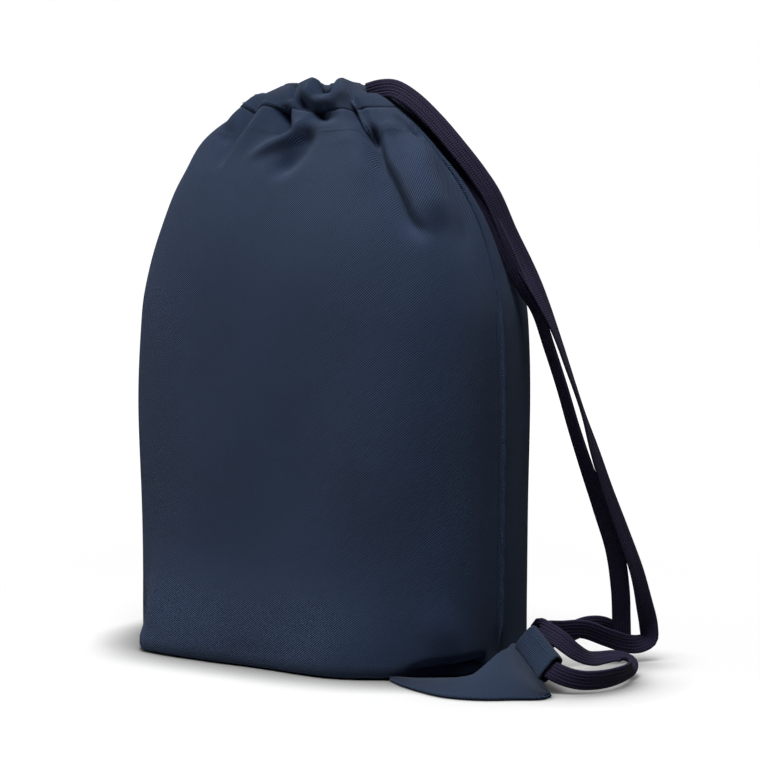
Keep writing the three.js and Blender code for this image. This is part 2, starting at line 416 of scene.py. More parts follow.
class SharedGroups:
    """Builds each shader node group once and hands it out."""

    def __init__(self) -> None:
        """Start with no groups."""
        self._made: dict[GroupKind, bpy.types.NodeTree] = {}

    def get(self, kind: GroupKind) -> bpy.types.NodeTree:
        """Return a group, building it the first time.

        Args:
            kind: Which effect.

        Returns:
            The node group.
        """
        if kind not in self._made:
            builders = {
                GroupKind.TWILL: self._twill,
                GroupKind.BRAID: self._braid,
                GroupKind.TONE: self._tone,
                GroupKind.DUST: self._dust,
            }
            self._made[kind] = builders[kind]()
        return self._made[kind]

    @staticmethod
    def _shell(
        kind: GroupKind, inputs: Iterable[tuple[str, str, float]], outputs: Iterable[tuple[str, str]]
    ) -> tuple[NodeGraph, bpy.types.Node, bpy.types.Node]:
        """Make an empty group with its sockets.

        Args:
            kind: Which effect; its value is the group's name.
            inputs: Name, socket type and default of each input.
            outputs: Name and socket type of each output.

        Returns:
            The graph, its input node and its output node.
        """
        tree = bpy.data.node_groups.new(kind.value, "ShaderNodeTree")
        for name, socket_type, default in inputs:
            socket = tree.interface.new_socket(name=name, in_out="INPUT", socket_type=socket_type)
            if socket_type == "NodeSocketFloat":
                socket.default_value = default
        for name, socket_type in outputs:
            tree.interface.new_socket(name=name, in_out="OUTPUT", socket_type=socket_type)
        graph = NodeGraph(tree)
        return graph, graph.add("NodeGroupInput"), graph.add("NodeGroupOutput")

    @staticmethod
    def _yarn_turns(graph: NodeGraph, given: bpy.types.Node) -> tuple[bpy.types.NodeSocket, ...]:
        """Cloth coordinates counted in turns of the repeat, in radians.

        Args:
            graph: Graph of the group.
            given: Input node with the sockets Cloth and Pitch.

        Returns:
            Turns across the cloth and along it.
        """
        parts = graph.add("ShaderNodeSeparateXYZ")
        graph.link(given.outputs["Cloth"], parts.inputs[0])
        turn = graph.math("DIVIDE", 2 * math.pi, given.outputs["Pitch"])
        return tuple(graph.math("MULTIPLY", parts.outputs[axis], turn) for axis in (0, 1))

    @staticmethod
    def _wave(graph: NodeGraph, turns: bpy.types.NodeSocket) -> bpy.types.NodeSocket:
        """Smooth wave between 0 and 1.

        Args:
            graph: Graph of the group.
            turns: Angle in radians.

        Returns:
            Height of the wave.
        """
        return graph.math("MULTIPLY_ADD", graph.math("SINE", turns), 0.5, 0.5)

    def _twill(self) -> bpy.types.NodeTree:
        """Diagonal twill: slanting ribs crossed by single yarns.

        Returns:
            Group with outputs Height and Gaps.
        """
        graph, given, result = self._shell(
            GroupKind.TWILL,
            [("Cloth", "NodeSocketVector", 0.0), ("Pitch", "NodeSocketFloat", 0.0011)],
            [("Height", "NodeSocketFloat"), ("Gaps", "NodeSocketFloat")],
        )
        slope = 0.8
        unevenness = 1.6
        yarns_per_rib = 2.1
        rib_share = 0.72
        across, along = self._yarn_turns(graph, given)
        slant = graph.math("ADD", along, graph.math("MULTIPLY", across, slope))
        wobble = graph.add("ShaderNodeTexNoise")
        wobble.inputs["Scale"].default_value = 90.0
        wobble.inputs["Detail"].default_value = 2.0
        graph.link(given.outputs["Cloth"], wobble.inputs["Vector"])
        slant = graph.math("ADD", slant, graph.math("MULTIPLY", wobble.outputs[0], unevenness))
        rib = self._wave(graph, slant)
        yarn = self._wave(graph, graph.math("MULTIPLY", across, yarns_per_rib))
        raised = graph.math("MULTIPLY", rib, rib_share)
        height = graph.math("ADD", raised, graph.math("MULTIPLY", yarn, 1.0 - rib_share))
        graph.link(height, result.inputs["Height"])
        graph.link(graph.math("SUBTRACT", 1.0, height, clamp=True), result.inputs["Gaps"])
        return graph.tree

    def _braid(self) -> bpy.types.NodeTree:
        """Fine knit loops running along a flat cord.

        Returns:
            Group with outputs Height and Gaps.
        """
        graph, given, result = self._shell(
            GroupKind.BRAID,
            [("Cloth", "NodeSocketVector", 0.0), ("Pitch", "NodeSocketFloat", 0.0015)],
            [("Height", "NodeSocketFloat"), ("Gaps", "NodeSocketFloat")],
        )
        chevron_depth = 2.4
        loop_share = 0.6
        across, along = self._yarn_turns(graph, given)
        fold = graph.math("ABSOLUTE", graph.math("SINE", graph.math("MULTIPLY", across, 0.5)))
        chevron = graph.math("ADD", along, graph.math("MULTIPLY", fold, chevron_depth))
        raised = graph.math("MULTIPLY", self._wave(graph, chevron), loop_share)
        height = graph.math("ADD", raised, graph.math("MULTIPLY", fold, 1.0 - loop_share))
        graph.link(height, result.inputs["Height"])
        graph.link(graph.math("SUBTRACT", 1.0, height, clamp=True), result.inputs["Gaps"])
        return graph.tree

    def _tone(self) -> bpy.types.NodeTree:
        """Soft, large and small changes of tone in the cloth.

        Returns:
            Group with output Tone, about 0.5 on average.
        """
        graph, given, result = self._shell(
            GroupKind.TONE,
            [("Place", "NodeSocketVector", 0.0), ("Size", "NodeSocketFloat", 0.06)],
            [("Tone", "NodeSocketFloat")],
        )
        broad = graph.add("ShaderNodeTexNoise")
        broad.inputs["Detail"].default_value = 3.0
        graph.link(given.outputs["Place"], broad.inputs["Vector"])
        graph.link(graph.math("DIVIDE", 1.0, given.outputs["Size"]), broad.inputs["Scale"])
        fine = graph.add("ShaderNodeTexNoise")
        fine.inputs["Scale"].default_value = 900.0
        fine.inputs["Detail"].default_value = 1.0
        graph.link(given.outputs["Place"], fine.inputs["Vector"])
        broad_share = 0.6
        large = graph.math("MULTIPLY", broad.outputs[0], broad_share)
        small = graph.math("MULTIPLY", fine.outputs[0], 1.0 - broad_share)
        graph.link(graph.math("ADD", large, small), result.inputs["Tone"])
        return graph.tree

    def _dust(self) -> bpy.types.NodeTree:
        """Paler worn thread on sharp ridges, with a few specks.

        Returns:
            Group with output Mask between 0 and 1.
        """
        graph, given, result = self._shell(
            GroupKind.DUST,
            [("Place", "NodeSocketVector", 0.0), ("Wear", "NodeSocketFloat", 0.35)],
            [("Mask", "NodeSocketFloat")],
        )
        geometry = graph.add("ShaderNodeNewGeometry")
        edge = graph.add("ShaderNodeMapRange", clamp=True)
        edge.inputs["From Min"].default_value = 0.50
        edge.inputs["From Max"].default_value = 0.62
        graph.link(geometry.outputs["Pointiness"], edge.inputs["Value"])
        specks = graph.add("ShaderNodeTexNoise")
        specks.inputs["Scale"].default_value = 420.0
        graph.link(given.outputs["Place"], specks.inputs["Vector"])
        broken = graph.math("MULTIPLY", edge.outputs[0], specks.outputs[0])
        graph.link(graph.math("MULTIPLY", broken, given.outputs["Wear"], clamp=True), result.inputs["Mask"])
        return graph.tree


# ---------------------------------------------------------------- finishes
TONE_RANGE = 0.7
ROUGH_RANGE = 0.12
WORN_GAIN = 1.8


@dataclass(frozen=True)
class ThreadFinish:
    """A woven, knitted or stitched finish.

    Attributes:
        name: Name of the material.
        light: Colour of the raised yarns.
        dark: Colour between the yarns.
        texture: Which weave gives the relief.
        pitch: Size of one repeat in metres.
        relief: Height of the weave in metres.
        roughness: Surface roughness.
        sheen: Strength of the soft sheen of fine fibres.
    """

    name: str
    light: Colour
    dark: Colour
    texture: GroupKind
    pitch: float
    relief: float
    roughness: float = 0.82
    sheen: float = 0.06

    def build(self, groups: SharedGroups) -> bpy.types.Material:
        """Make the material.

        Args:
            groups: Source of the shared node groups.

        Returns:
            The new material.
        """
        material = bpy.data.materials.new(self.name)
        material.use_nodes = True
        graph = NodeGraph(material.node_tree)
        shader = material.node_tree.nodes["Principled BSDF"]
        cloth = graph.add("ShaderNodeUVMap", uv_map="cloth")
        place = graph.add("ShaderNodeTexCoord")
        weave = graph.add("ShaderNodeGroup", node_tree=groups.get(self.texture))
        weave.inputs["Pitch"].default_value = self.pitch
        graph.link(cloth.outputs[0], weave.inputs["Cloth"])
        tone = graph.add("ShaderNodeGroup", node_tree=groups.get(GroupKind.TONE))
        graph.link(place.outputs["Object"], tone.inputs["Place"])
        wear = graph.add("ShaderNodeGroup", node_tree=groups.get(GroupKind.DUST))
        graph.link(place.outputs["Object"], wear.inputs["Place"])

        yarn = graph.mix(weave.outputs["Gaps"], self.light, self.dark)
        shade = graph.math("MULTIPLY_ADD", tone.outputs["Tone"], TONE_RANGE, 1.0 - TONE_RANGE / 2)
        tinted = graph.add("ShaderNodeVectorMath", operation="SCALE")
        graph.link(yarn, tinted.inputs[0])
        graph.link(shade, tinted.inputs["Scale"])
        worn = tuple(min(1.0, WORN_GAIN * value) for value in self.light[:3]) + (1.0,)
        colour = graph.mix(wear.outputs["Mask"], tinted.outputs[0], worn)
        graph.link(colour, shader.inputs["Base Color"])
        least = self.roughness - ROUGH_RANGE / 2
        rough = graph.math("MULTIPLY_ADD", weave.outputs["Gaps"], ROUGH_RANGE, least)
        graph.link(rough, shader.inputs["Roughness"])
        bump = graph.add("ShaderNodeBump")
        bump.inputs["Strength"].default_value = 1.0
        bump.inputs["Distance"].default_value = self.relief
        graph.link(weave.outputs["Height"], bump.inputs["Height"])
        graph.link(bump.outputs[0], shader.inputs["Normal"])
        shader.inputs["Sheen Weight"].default_value = self.sheen
        shader.inputs["Sheen Roughness"].default_value = 0.5
        shader.inputs["Specular IOR Level"].default_value = 0.25
        return material


@dataclass(frozen=True)
class StageFinish:
    """Plain pale floor, with a painted shadow round what stands on it.

    Attributes:
        colour: Base colour.
        glow: Strength of the even white that it shows near the bag.
        far_glow: The same far from the bag.
        near: Distance from the middle up to which it is near, in metres.
        far: Distance from which it is far, in metres.
        painted_shadow_reach: Distance over which a painted contact shadow darkens it round things standing on
            it, in metres.
        painted_shadow_depth: How quickly the painted shadow darkens towards them.
    """

    colour: Colour = (0.20, 0.20, 0.20, 1.0)
    glow: float = 0.78
    far_glow: float = 1.0
    near: float = 0.3
    far: float = 1.3
    painted_shadow_reach: float = 0.038
    painted_shadow_depth: float = 3.6

    def build(self) -> bpy.types.Material:
        """Make the material.

        Returns:
            The new material.
        """
        material = bpy.data.materials.new("pale floor")
        material.use_nodes = True
        shader = material.node_tree.nodes["Principled BSDF"]
        graph = NodeGraph(material.node_tree)
        grain = graph.add("ShaderNodeTexNoise")
        grain.inputs["Scale"].default_value = 60.0
        graph.link(graph.math("MULTIPLY_ADD", grain.outputs[0], 0.1, 0.6), shader.inputs["Roughness"])
        shader.inputs["Base Color"].default_value = self.colour
        shader.inputs["Emission Color"].default_value = WHITE
        seen = graph.add("ShaderNodeLightPath")
        place = graph.add("ShaderNodeTexCoord")
        distance = graph.add("ShaderNodeVectorMath", operation="LENGTH")
        graph.link(place.outputs["Object"], distance.inputs[0])
        spread = graph.add("ShaderNodeMapRange", clamp=True, interpolation_type="SMOOTHSTEP")
        spread.inputs["From Min"].default_value = self.near
        spread.inputs["From Max"].default_value = self.far
        spread.inputs["To Min"].default_value = self.glow
        spread.inputs["To Max"].default_value = self.far_glow
        graph.link(distance.outputs["Value"], spread.inputs["Value"])
        glow = graph.math("MULTIPLY", seen.outputs["Is Camera Ray"], spread.outputs[0])
        # Painted shadow: ambient occlusion darkens the floor's glow close to the bag and the cords.
        open_air = graph.add("ShaderNodeAmbientOcclusion", samples=16)
        open_air.inputs["Distance"].default_value = self.painted_shadow_reach
        painted_shadow = graph.math("POWER", open_air.outputs["AO"], self.painted_shadow_depth)
        graph.link(graph.math("MULTIPLY", glow, painted_shadow), shader.inputs["Emission Strength"])
        return material


class Palette:
    """All finishes of the bag, built once."""

    def __init__(self) -> None:
        """Build the shared groups and the materials."""
        groups = SharedGroups()
        twill = (GroupKind.TWILL, 0.0015, 0.0007)
        self.cloth = ThreadFinish(
            "navy twill", (0.043, 0.080, 0.172, 1.0), (0.014, 0.026, 0.060, 1.0), *twill
        ).build(groups)
        self.hem = ThreadFinish(
            "navy twill hem", (0.045, 0.083, 0.178, 1.0), (0.015, 0.027, 0.063, 1.0), *twill
        ).build(groups)
        # Darker copy of the navy twill for the corner flaps and tabs: painted shade, since they lie in the
        # bag's shade.
        self.corner = ThreadFinish(
            "navy twill shaded corner", (0.034, 0.063, 0.134, 1.0), (0.011, 0.020, 0.046, 1.0), *twill
        ).build(groups)
        self.thread = ThreadFinish(
            "navy thread", (0.055, 0.100, 0.190, 1.0), (0.018, 0.032, 0.070, 1.0),
            GroupKind.BRAID, 0.0006, 0.00008, 0.7, 0.1,
        ).build(groups)
        self.cord = ThreadFinish(
            "dark flat braid", (0.024, 0.019, 0.062, 1.0), (0.004, 0.003, 0.012, 1.0),
            GroupKind.BRAID, 0.0015, 0.00035, 0.75, 0.05,
        ).build(groups)


# ---------------------------------------------------------------- bag form
# Height of the cloth's modelled face where the bag rests; its thickness lies below that.
CLOTH_REST = 1.3
# Rows of the cloth: close together near the floor and above the shoulders, wider between.
FINE_STEP = 1.6
QUICK_STEP = 4.0
CLOSE_BELOW = 30.0
CLOSE_ABOVE = 238.0
MIDDLE_STRETCH = 2.2
OUTLINE_SAMPLES = 1600
# The outlines are averaged over these shifts in height, less so near the floor and the mouth.
CURVE_BLUR = (-6.0, -3.0, 0.0, 3.0, 6.0)
BLUR_EASE = 22.0
# A fold's end that fades over less than this share of its line stays round and full.
LEAST_FADE = 0.02
FOLD_SPACING = 4.0
# Folds are shallower on the rows that are turned down inside the mouth.
INNER_FOLD_SHARE = 0.25
HALF_GIRTH = 345.0
# Distance from a side seam over which folds die away, low down and at the shoulders.
SEAM_REACH = 16.0
TOP_SEAM_REACH = 6.0
QUICK_COLUMNS = 150
# Channel stitches: height over the cloth, columns left free at the seams, and the place where the
# front row dives into the middle folds.
HEM_STITCH_LIFT = 1.7
HEM_STITCH_MARGIN = 6
FRONT_STITCH_END = -13.0
# Outline of a rolled seam edge as (across, outwards).
SEAM_SECTION = np.array([(-1.0, -1.2), (-0.8, 0.8), (-0.35, 1.6), (0.35, 1.6), (0.8, 0.8), (1.0, -1.2)])
SEAM_ROUND = 0.006
SEAM_FIRST_ROW = 12
SEAM_STOP_ROWS = 4


@dataclass(frozen=True)
class Station:
    """Plan outline of the bag at one height, in millimetres.

    Attributes:
        z: Height.
        a: Half width.
        b: Half depth.
        cx: Sideways shift.
        n: Squareness of the outline.
    """

    z: float
    a: float
    b: float
    cx: float
    n: float


@dataclass(frozen=True)
class Fold:
    """A crease or ridge along a line on the cloth.

    Attributes:
        line: Points the fold follows, from its start to its end.
        lift: Height of the fold; negative is a crease.
        left: Fall-off on the left of the line, seen from the front with the line running down.
        right: Fall-off on its right.
        fade_in: Share of the line over which it starts.
        fade_out: Share of the line over which it dies away.
    """

    line: tuple[Point, ...]
    lift: float
    left: float
    right: float
    fade_in: float = 0.02
    fade_out: float = 0.5

    def height_at(self, points: Array) -> Array:
        """Displacement that the fold gives.

        Args:
            points: Undisplaced points, shape (n, 3).

        Returns:
            One height for each point, in millimetres.
        """
        line = spline(np.array(self.line), FOLD_SPACING)
        travel = path_length(line) / path_length(line)[-1]
        best = np.full(len(points), np.inf)
        along = np.zeros(len(points))
        offset = np.zeros(len(points))
        for i in range(len(line) - 1):
            start, step = line[i], line[i + 1] - line[i]
            t = np.clip((points - start) @ step / (step @ step), 0.0, 1.0)
            gap = points - (start + t[:, None] * step)
            distance = np.linalg.norm(gap, axis=1)
            nearer = distance < best
            best = np.where(nearer, distance, best)
            along = np.where(nearer, travel[i] + t * (travel[i + 1] - travel[i]), along)
            offset = np.where(nearer, step[0] * gap[:, 2] - step[2] * gap[:, 0], offset)
        width = np.where(offset < 0, self.left, self.right)
        fade = np.ones(len(points))
        if self.fade_in > LEAST_FADE:
            fade *= smoothstep(along / self.fade_in)
        if self.fade_out > LEAST_FADE:
            fade *= smoothstep((1 - along) / self.fade_out)
        return self.lift * np.exp(-((best / width) ** 2)) * fade


@dataclass
class BagForm:
    """Shape of the stuffed bag before and after its folds.

    Attributes:
        stations: Plan outlines up to the rim.
        rim: Outlines over the rolled rim and down inside the mouth.
        floor_radius: Rounding of the bottom edge.
        seam_share: Place of the side seam in front of the middle, as a share of half depth.
        hem_z: Height of the lower edge of the channel.
        columns: Vertices across one half.
        folds: Folds of each half.
    """

    stations: tuple[Station, ...] = (
        Station(0, 128.5, 66, 0, 4),
        Station(90, 129, 66.5, 0, 4),
        Station(150, 129.5, 67, 0, 4),
        Station(220, 126.8, 66, 0.5, 4),
        Station(250, 121.8, 64, 0.2, 3.8),
        Station(278, 113.5, 59, -1, 3.5),
        Station(300, 103.8, 52, -4.3, 3.2),
        Station(314, 95.5, 46, -6.5, 2.9),
        Station(326, 88.5, 39, -10, 2.6),
        Station(336, 80.5, 33, -10.5, 2.4),
        Station(344, 70.5, 28.5, -9, 2.2),
        Station(350, 63, 25.5, -8, 2.1),
        Station(356, 53, 22, -6.5, 2.05),
        Station(360, 44.5, 19.5, -5.5, 2),
        Station(364, 34.5, 16, -6, 2),
        Station(366.5, 30, 13.2, -6, 2),
    )
    rim: tuple[Station, ...] = (
        Station(367.3, 27.5, 11.8, -6, 2),
        Station(367.3, 25.2, 10.2, -6, 2),
        Station(366.4, 23, 8.8, -6, 2),
        Station(364.5, 21.5, 7.6, -6, 2),
        Station(360, 21, 7.2, -6, 2),
        Station(352, 22, 7.6, -6, 2),
        Station(344, 25, 9, -6, 2),
        Station(334, 30, 11, -6, 2),
    )
    floor_radius: float = 7.0
    seam_share: float = 0.09
    hem_z: float = 351.5
    columns: int = 280
    folds: dict[Half, tuple[Fold, ...]] = field(default_factory=dict)

    def rows(self, fine: bool) -> list[tuple[Station, float, float]]:
        """All outlines from the middle of the base up, over the rim and inside.

        Args:
            fine: Whether to use the close spacing.

        Returns:
            For each row its outline, how much of its depth is kept, and its inset.
        """
        knots = np.array([s.z for s in self.stations])
        step = FINE_STEP if fine else QUICK_STEP
        heights = list(np.arange(self.floor_radius + 1.5, CLOSE_BELOW, step))
        heights += list(np.arange(CLOSE_BELOW + 1, CLOSE_ABOVE - 2, MIDDLE_STRETCH * step))
        heights += list(np.arange(CLOSE_ABOVE, knots[-1], step)) + [knots[-1]]
        at = np.array(heights)
        calm = np.clip((knots[-1] - at) / BLUR_EASE, 0.0, 1.0) * np.clip(at / BLUR_EASE, 0.0, 1.0)
        curves = []
        for key in ("a", "b", "cx", "n"):
            values = np.array([getattr(s, key) for s in self.stations], float)
            shifted = [steady_curve(knots, values, at + shift * calm) for shift in CURVE_BLUR]
            curves.append(np.mean(shifted, axis=0))
        base = self.stations[0]
        resting = replace(base, z=CLOTH_REST)
        made = [(resting, keep, self.floor_radius) for keep in (0.0, 0.2, 0.45, 0.7, 0.88)]
        for angle in np.linspace(0.0, math.pi / 2, 9):
            z = CLOTH_REST + self.floor_radius * (1 - math.cos(angle))
            made.append((replace(base, z=z), 1.0, self.floor_radius * (1 - math.sin(angle))))
        for z, *shape in zip(heights, *curves):
            made.append((Station(z, *map(float, shape)), 1.0, 0.0))
        made += [(station, 1.0, 0.0) for station in self.rim]
        return made

    def outline(self, station: Station, half: Half, inset: float) -> Array:
        """Half of one plan outline, evenly spaced.

        Args:
            station: The outline.
            half: Front or back.
            inset: How far the outline is pulled in.

        Returns:
            Points from seam to seam, shape (columns, 3).
        """
        start = math.asin(self.seam_share ** (station.n / 2))
        if half is Half.FRONT:
            t = np.linspace(-start, -math.pi + start, OUTLINE_SAMPLES)
        else:
            t = np.linspace(-math.pi + start, -2 * math.pi - start, OUTLINE_SAMPLES)
        c, s = np.cos(t), np.sin(t)
        x = station.cx + (station.a - inset) * np.sign(c) * np.abs(c) ** (2 / station.n)
        y = (station.b - inset) * np.sign(s) * np.abs(s) ** (2 / station.n)
        return resample(np.stack([x, y, np.full_like(x, station.z)], axis=1), self.columns)

    def grid(self, half: Half, fine: bool) -> Array:
        """Undisplaced surface of one half.

        Args:
            half: Front or back.
            fine: Whether to use the close spacing.

        Returns:
            Points, shape (rows, columns, 3).
        """
        lines = []
        for station, keep, inset in self.rows(fine):
            line = self.outline(station, half, inset)
            if keep < 1.0:
                seam = -self.seam_share * (station.b - inset)
                line[:, 1] = seam + (line[:, 1] - seam) * keep
            lines.append(line)
        return np.stack(lines)

    @staticmethod
    def normals(points: Array) -> Array:
        """Outward directions of a grid.

        Args:
            points: Points, shape (rows, columns, 3).

        Returns:
            Unit vectors of the same shape.
        """
        up = np.gradient(points, axis=0)
        across = np.gradient(points, axis=1)
        outward = unit(np.cross(up, across))
        outward[:3] = (0.0, 0.0, -1.0)
        return outward

    def displaced(self, half: Half, fine: bool) -> Array:
        """Surface of one half with its folds.

        Args:
            half: Front or back.
            fine: Whether to use the close spacing.

        Returns:
            Points, shape (rows, columns, 3).
        """
        points = self.grid(half, fine)
        flat = points.reshape(-1, 3)
        lift = sum(fold.height_at(flat) for fold in self.folds[half]).reshape(points.shape[:2])
        lift[-len(self.rim) + 2:] *= INNER_FOLD_SHARE
        lift += self._stuffing(points[..., 0], points[..., 2])
        across = np.arange(self.columns)
        from_seam = np.minimum(across, across[::-1]) * HALF_GIRTH / self.columns
        height = points[..., 2]
        reach = SEAM_REACH + (TOP_SEAM_REACH - SEAM_REACH) * ramp(height, 290.0, 320.0)
        lift *= smoothstep(from_seam[None, :] / reach)
        # The seam pulls nowhere at the floor and under the channel.
        pulled = ramp(height, 14.0, 34.0) * ramp(height, 334.0, 304.0)
        lift += self._seam_pull(from_seam)[None, :] * pulled
        moved = points + self.normals(points) * lift[..., None]
        moved[..., 2] = np.maximum(moved[..., 2], CLOTH_REST)
        return moved

    @staticmethod
    def _stuffing(x: Array, z: Array) -> Array:
        """Swell and uneven lie of the cloth over what is in the bag.

        Args:
            x: Sideways places of the points.
            z: Heights of the points.

        Returns:
            Displacement in millimetres.
        """
        swell_depth, half_width, top = 4.0, 122.0, 330.0
        standing = ramp(z, 6.0, 46.0) * ramp(z, top, 240.0)
        across = np.clip(1 - (x / half_width) ** 2, 0, 1)
        swell = swell_depth * across * np.sin(np.pi * np.clip(z / top, 0, 1))
        uneven = 0.7 * np.sin(x / 31.0 + 1.3) * np.sin(z / 43.0 + 0.7)
        uneven += 0.4 * np.sin(x / 17.0 - z / 29.0 + 2.0)
        return standing * (swell + uneven)

    @staticmethod
    def _seam_pull(from_seam: Array) -> Array:
        """Rounded edge beside a side seam with the small dip of its stitches.

        Args:
            from_seam: Distances from the nearer seam.

        Returns:
            Displacement in millimetres.
        """
        edge_height, edge_width = 2.2, 7.0
        dip_depth, dip_place, dip_width = 1.0, 2.6, 1.7
        edge = edge_height * np.exp(-((from_seam / edge_width) ** 1.3))
        dip = dip_depth * np.exp(-(((from_seam - dip_place) / dip_width) ** 2))
        return edge - dip


def front_folds() -> tuple[Fold, ...]:
    """Folds of the front cloth, running down from the drawn mouth.

    Returns:
        The folds.
    """
    return (
        # pit between the two middle lobes and the curved edge under it
        Fold(((5, -13, 369), (5, -15, 365), (7, -18, 361), (7, -20, 358)), -13.0, 4.5, 4.5, 0.01, 0.25),
        Fold(((-9, -20, 359), (-3, -19, 358), (7, -21, 355.5), (16, -17, 359)), 2.6, 4, 4, 0.3, 0.3),
        Fold(((-13, -21, 355), (-8, -21, 354), (7, -23, 349), (18, -25, 344)), -7.0, 4.5, 4.5, 0.15, 0.4),
        Fold(((0, -22, 352), (13, -24, 347), (23, -20, 350)), -5.0, 6, 6, 0.3, 0.3),
        # middle lobes
        Fold(((-5, -13, 368), (-5, -18, 361), (-4, -21, 356)), 4.0, 7, 5, 0.01, 0.5),
        Fold(((15, -11, 368), (17, -16, 361), (19, -20, 354)), 4.0, 7, 6, 0.01, 0.5),
        # slit and deep pocket on the left of them
        Fold(((-19, -12, 368), (-17, -15, 365), (-15, -20, 356)), -5.5, 1.9, 1.9, 0.01, 0.15),
        Fold(((-18, -21, 354), (-17, -24, 349), (-14, -27, 342), (-9, -32, 335)), -12.0, 6, 2.4, 0.2, 0.12),
        # ridge that swings left under the pocket, and the valley below it
        Fold(((-3, -25, 347), (-4, -33, 336), (-10, -36, 331), (-20, -38, 326), (-30, -41, 322),
              (-41, -43, 318)), 5.5, 5, 3.6, 0.2, 0.45),
        Fold(((1, -28, 342), (3, -34, 333), (0, -40, 324), (-8, -45, 315), (-21, -46, 311)),
             -8.0, 7, 7, 0.25, 0.4),
        # long overlap on the left
        Fold(((-33, -8, 366), (-38, -11, 362), (-45, -20, 345), (-53, -33, 329), (-57, -40, 318),
              (-60, -44, 309)), -9.0, 9, 2.5, 0.01, 0.5),
        Fold(((-27, -10, 366), (-31, -16, 358), (-36, -26, 344), (-46, -37, 328), (-54, -43, 314)),
             4.0, 6, 8, 0.3, 0.5),
        Fold(((-52, -8, 356), (-58, -14, 348), (-66, -24, 334)), 3.5, 8, 8, 0.01, 0.5),
        Fold(((-64, -16, 343), (-64, -24, 335), (-60, -34, 325)), -4.0, 6, 6, 0.4, 0.5),
        Fold(((-60, -6, 356), (-68, -8, 346), (-76, -14, 334), (-84, -24, 318)), -3, 5, 5, 0.01, 0.6),
        # broad soft ridge in front of the long crease
        Fold(((28, -24, 348), (37, -28, 336), (48, -35, 323), (58, -43, 308), (66, -47, 298)),
             4.5, 12, 6, 0.3, 0.5),
        # long crease on the right, the full lobe beyond it and its far edge
        Fold(((25, -7, 366), (27, -13, 357), (35, -17, 348), (41, -20, 341), (47, -23, 337), (53, -26, 331),
              (62, -34, 319), (71, -38, 309), (78, -42, 301), (84, -44, 292), (91, -46, 282), (99, -44, 274),
              (104, -41, 269)), -10.0, 8.0, 2.6, 0.22, 0.2),
        Fold(((44, -22, 339), (50, -25, 334), (54, -28, 329)), -4.0, 4, 4, 0.4, 0.4),
        Fold(((58, -14, 335), (74, -18, 324), (86, -29, 308), (95, -34, 293), (105, -37, 272)),
             8.0, 9, 12, 0.35, 0.27),
        Fold(((104, -4, 300), (112, -12, 286), (116, -24, 274), (112, -38, 264)), -2.0, 7, 7, 0.3, 0.4),
        Fold(((52, -9, 346), (58, -8, 341), (64, -7, 337), (73, -9, 329)), -8.0, 2.6, 2.6, 0.25, 0.2),
        Fold(((50, -17, 342), (57, -18, 336), (63, -17, 331)), 3.0, 4, 4, 0.3, 0.5),
        # open end of the channel, where the cord comes out
        Fold(((34, -6, 366), (37, -8, 361)), -6.0, 4, 4, 0.01, 0.3),
        # bottom: hollow over the flattened corner, and slack cloth near the floor
        Fold(((90, -60, 3.5), (104, -56, 5), (114, -50, 6.5), (123, -40, 7), (129, -20, 7)),
             -11.0, 4.6, 4.6, 0.4, 0.03),
        Fold(((98, -60, 30), (114, -48, 33), (124, -38, 36)), 2.0, 14, 14, 0.4, 0.4),
        Fold(((-118, -52, 34), (-104, -60, 20), (-80, -65, 10), (-56, -66, 6)), -2.5, 8, 8, 0.4, 0.5),
        Fold(((-118, -54, 4), (-98, -62, 4), (-76, -66, 4), (-50, -66, 4)), 3.0, 15, 15, 0.15, 0.5),
        Fold(((-116, -58, 2), (-80, -66, 2), (-20, -66, 2), (40, -66, 2), (104, -62, 2)),
             17.0, 40, 40, 0.12, 0.28),
        Fold(((-40, -66, 5), (-10, -66, 10), (30, -66, 8)), -1.5, 8, 8, 0.4, 0.4),
    )


def back_folds() -> tuple[Fold, ...]:
    """Folds of the back cloth: a fan of pleats down from the mouth.

    Returns:
        The folds.
    """
    random = np.random.default_rng(7)
    folds = []
    for i, x in enumerate(np.linspace(-30, 20, 6)):
        spread = 1.9 + 0.25 * random.random()
        low = 300 + 16 * random.random()
        line = (
            (float(x), 9.0, 368.0),
            (float(1.15 * x), 15.0, 361.0),
            (float(1.4 * x), 22.0, 352.0),
            (float(1.7 * x), 32.0, 338.0),
            (float(spread * x), 44.0, float(low)),
        )
        folds.append(Fold(line, -5.0 if i % 2 else -4.0, 3.5, 5.0, 0.01, 0.7))
        middle = tuple((across + 5.0, back, up) for across, back, up in line)
        folds.append(Fold(middle, 2.6, 5.0, 5.0, 0.01, 0.7))
    return tuple(folds)


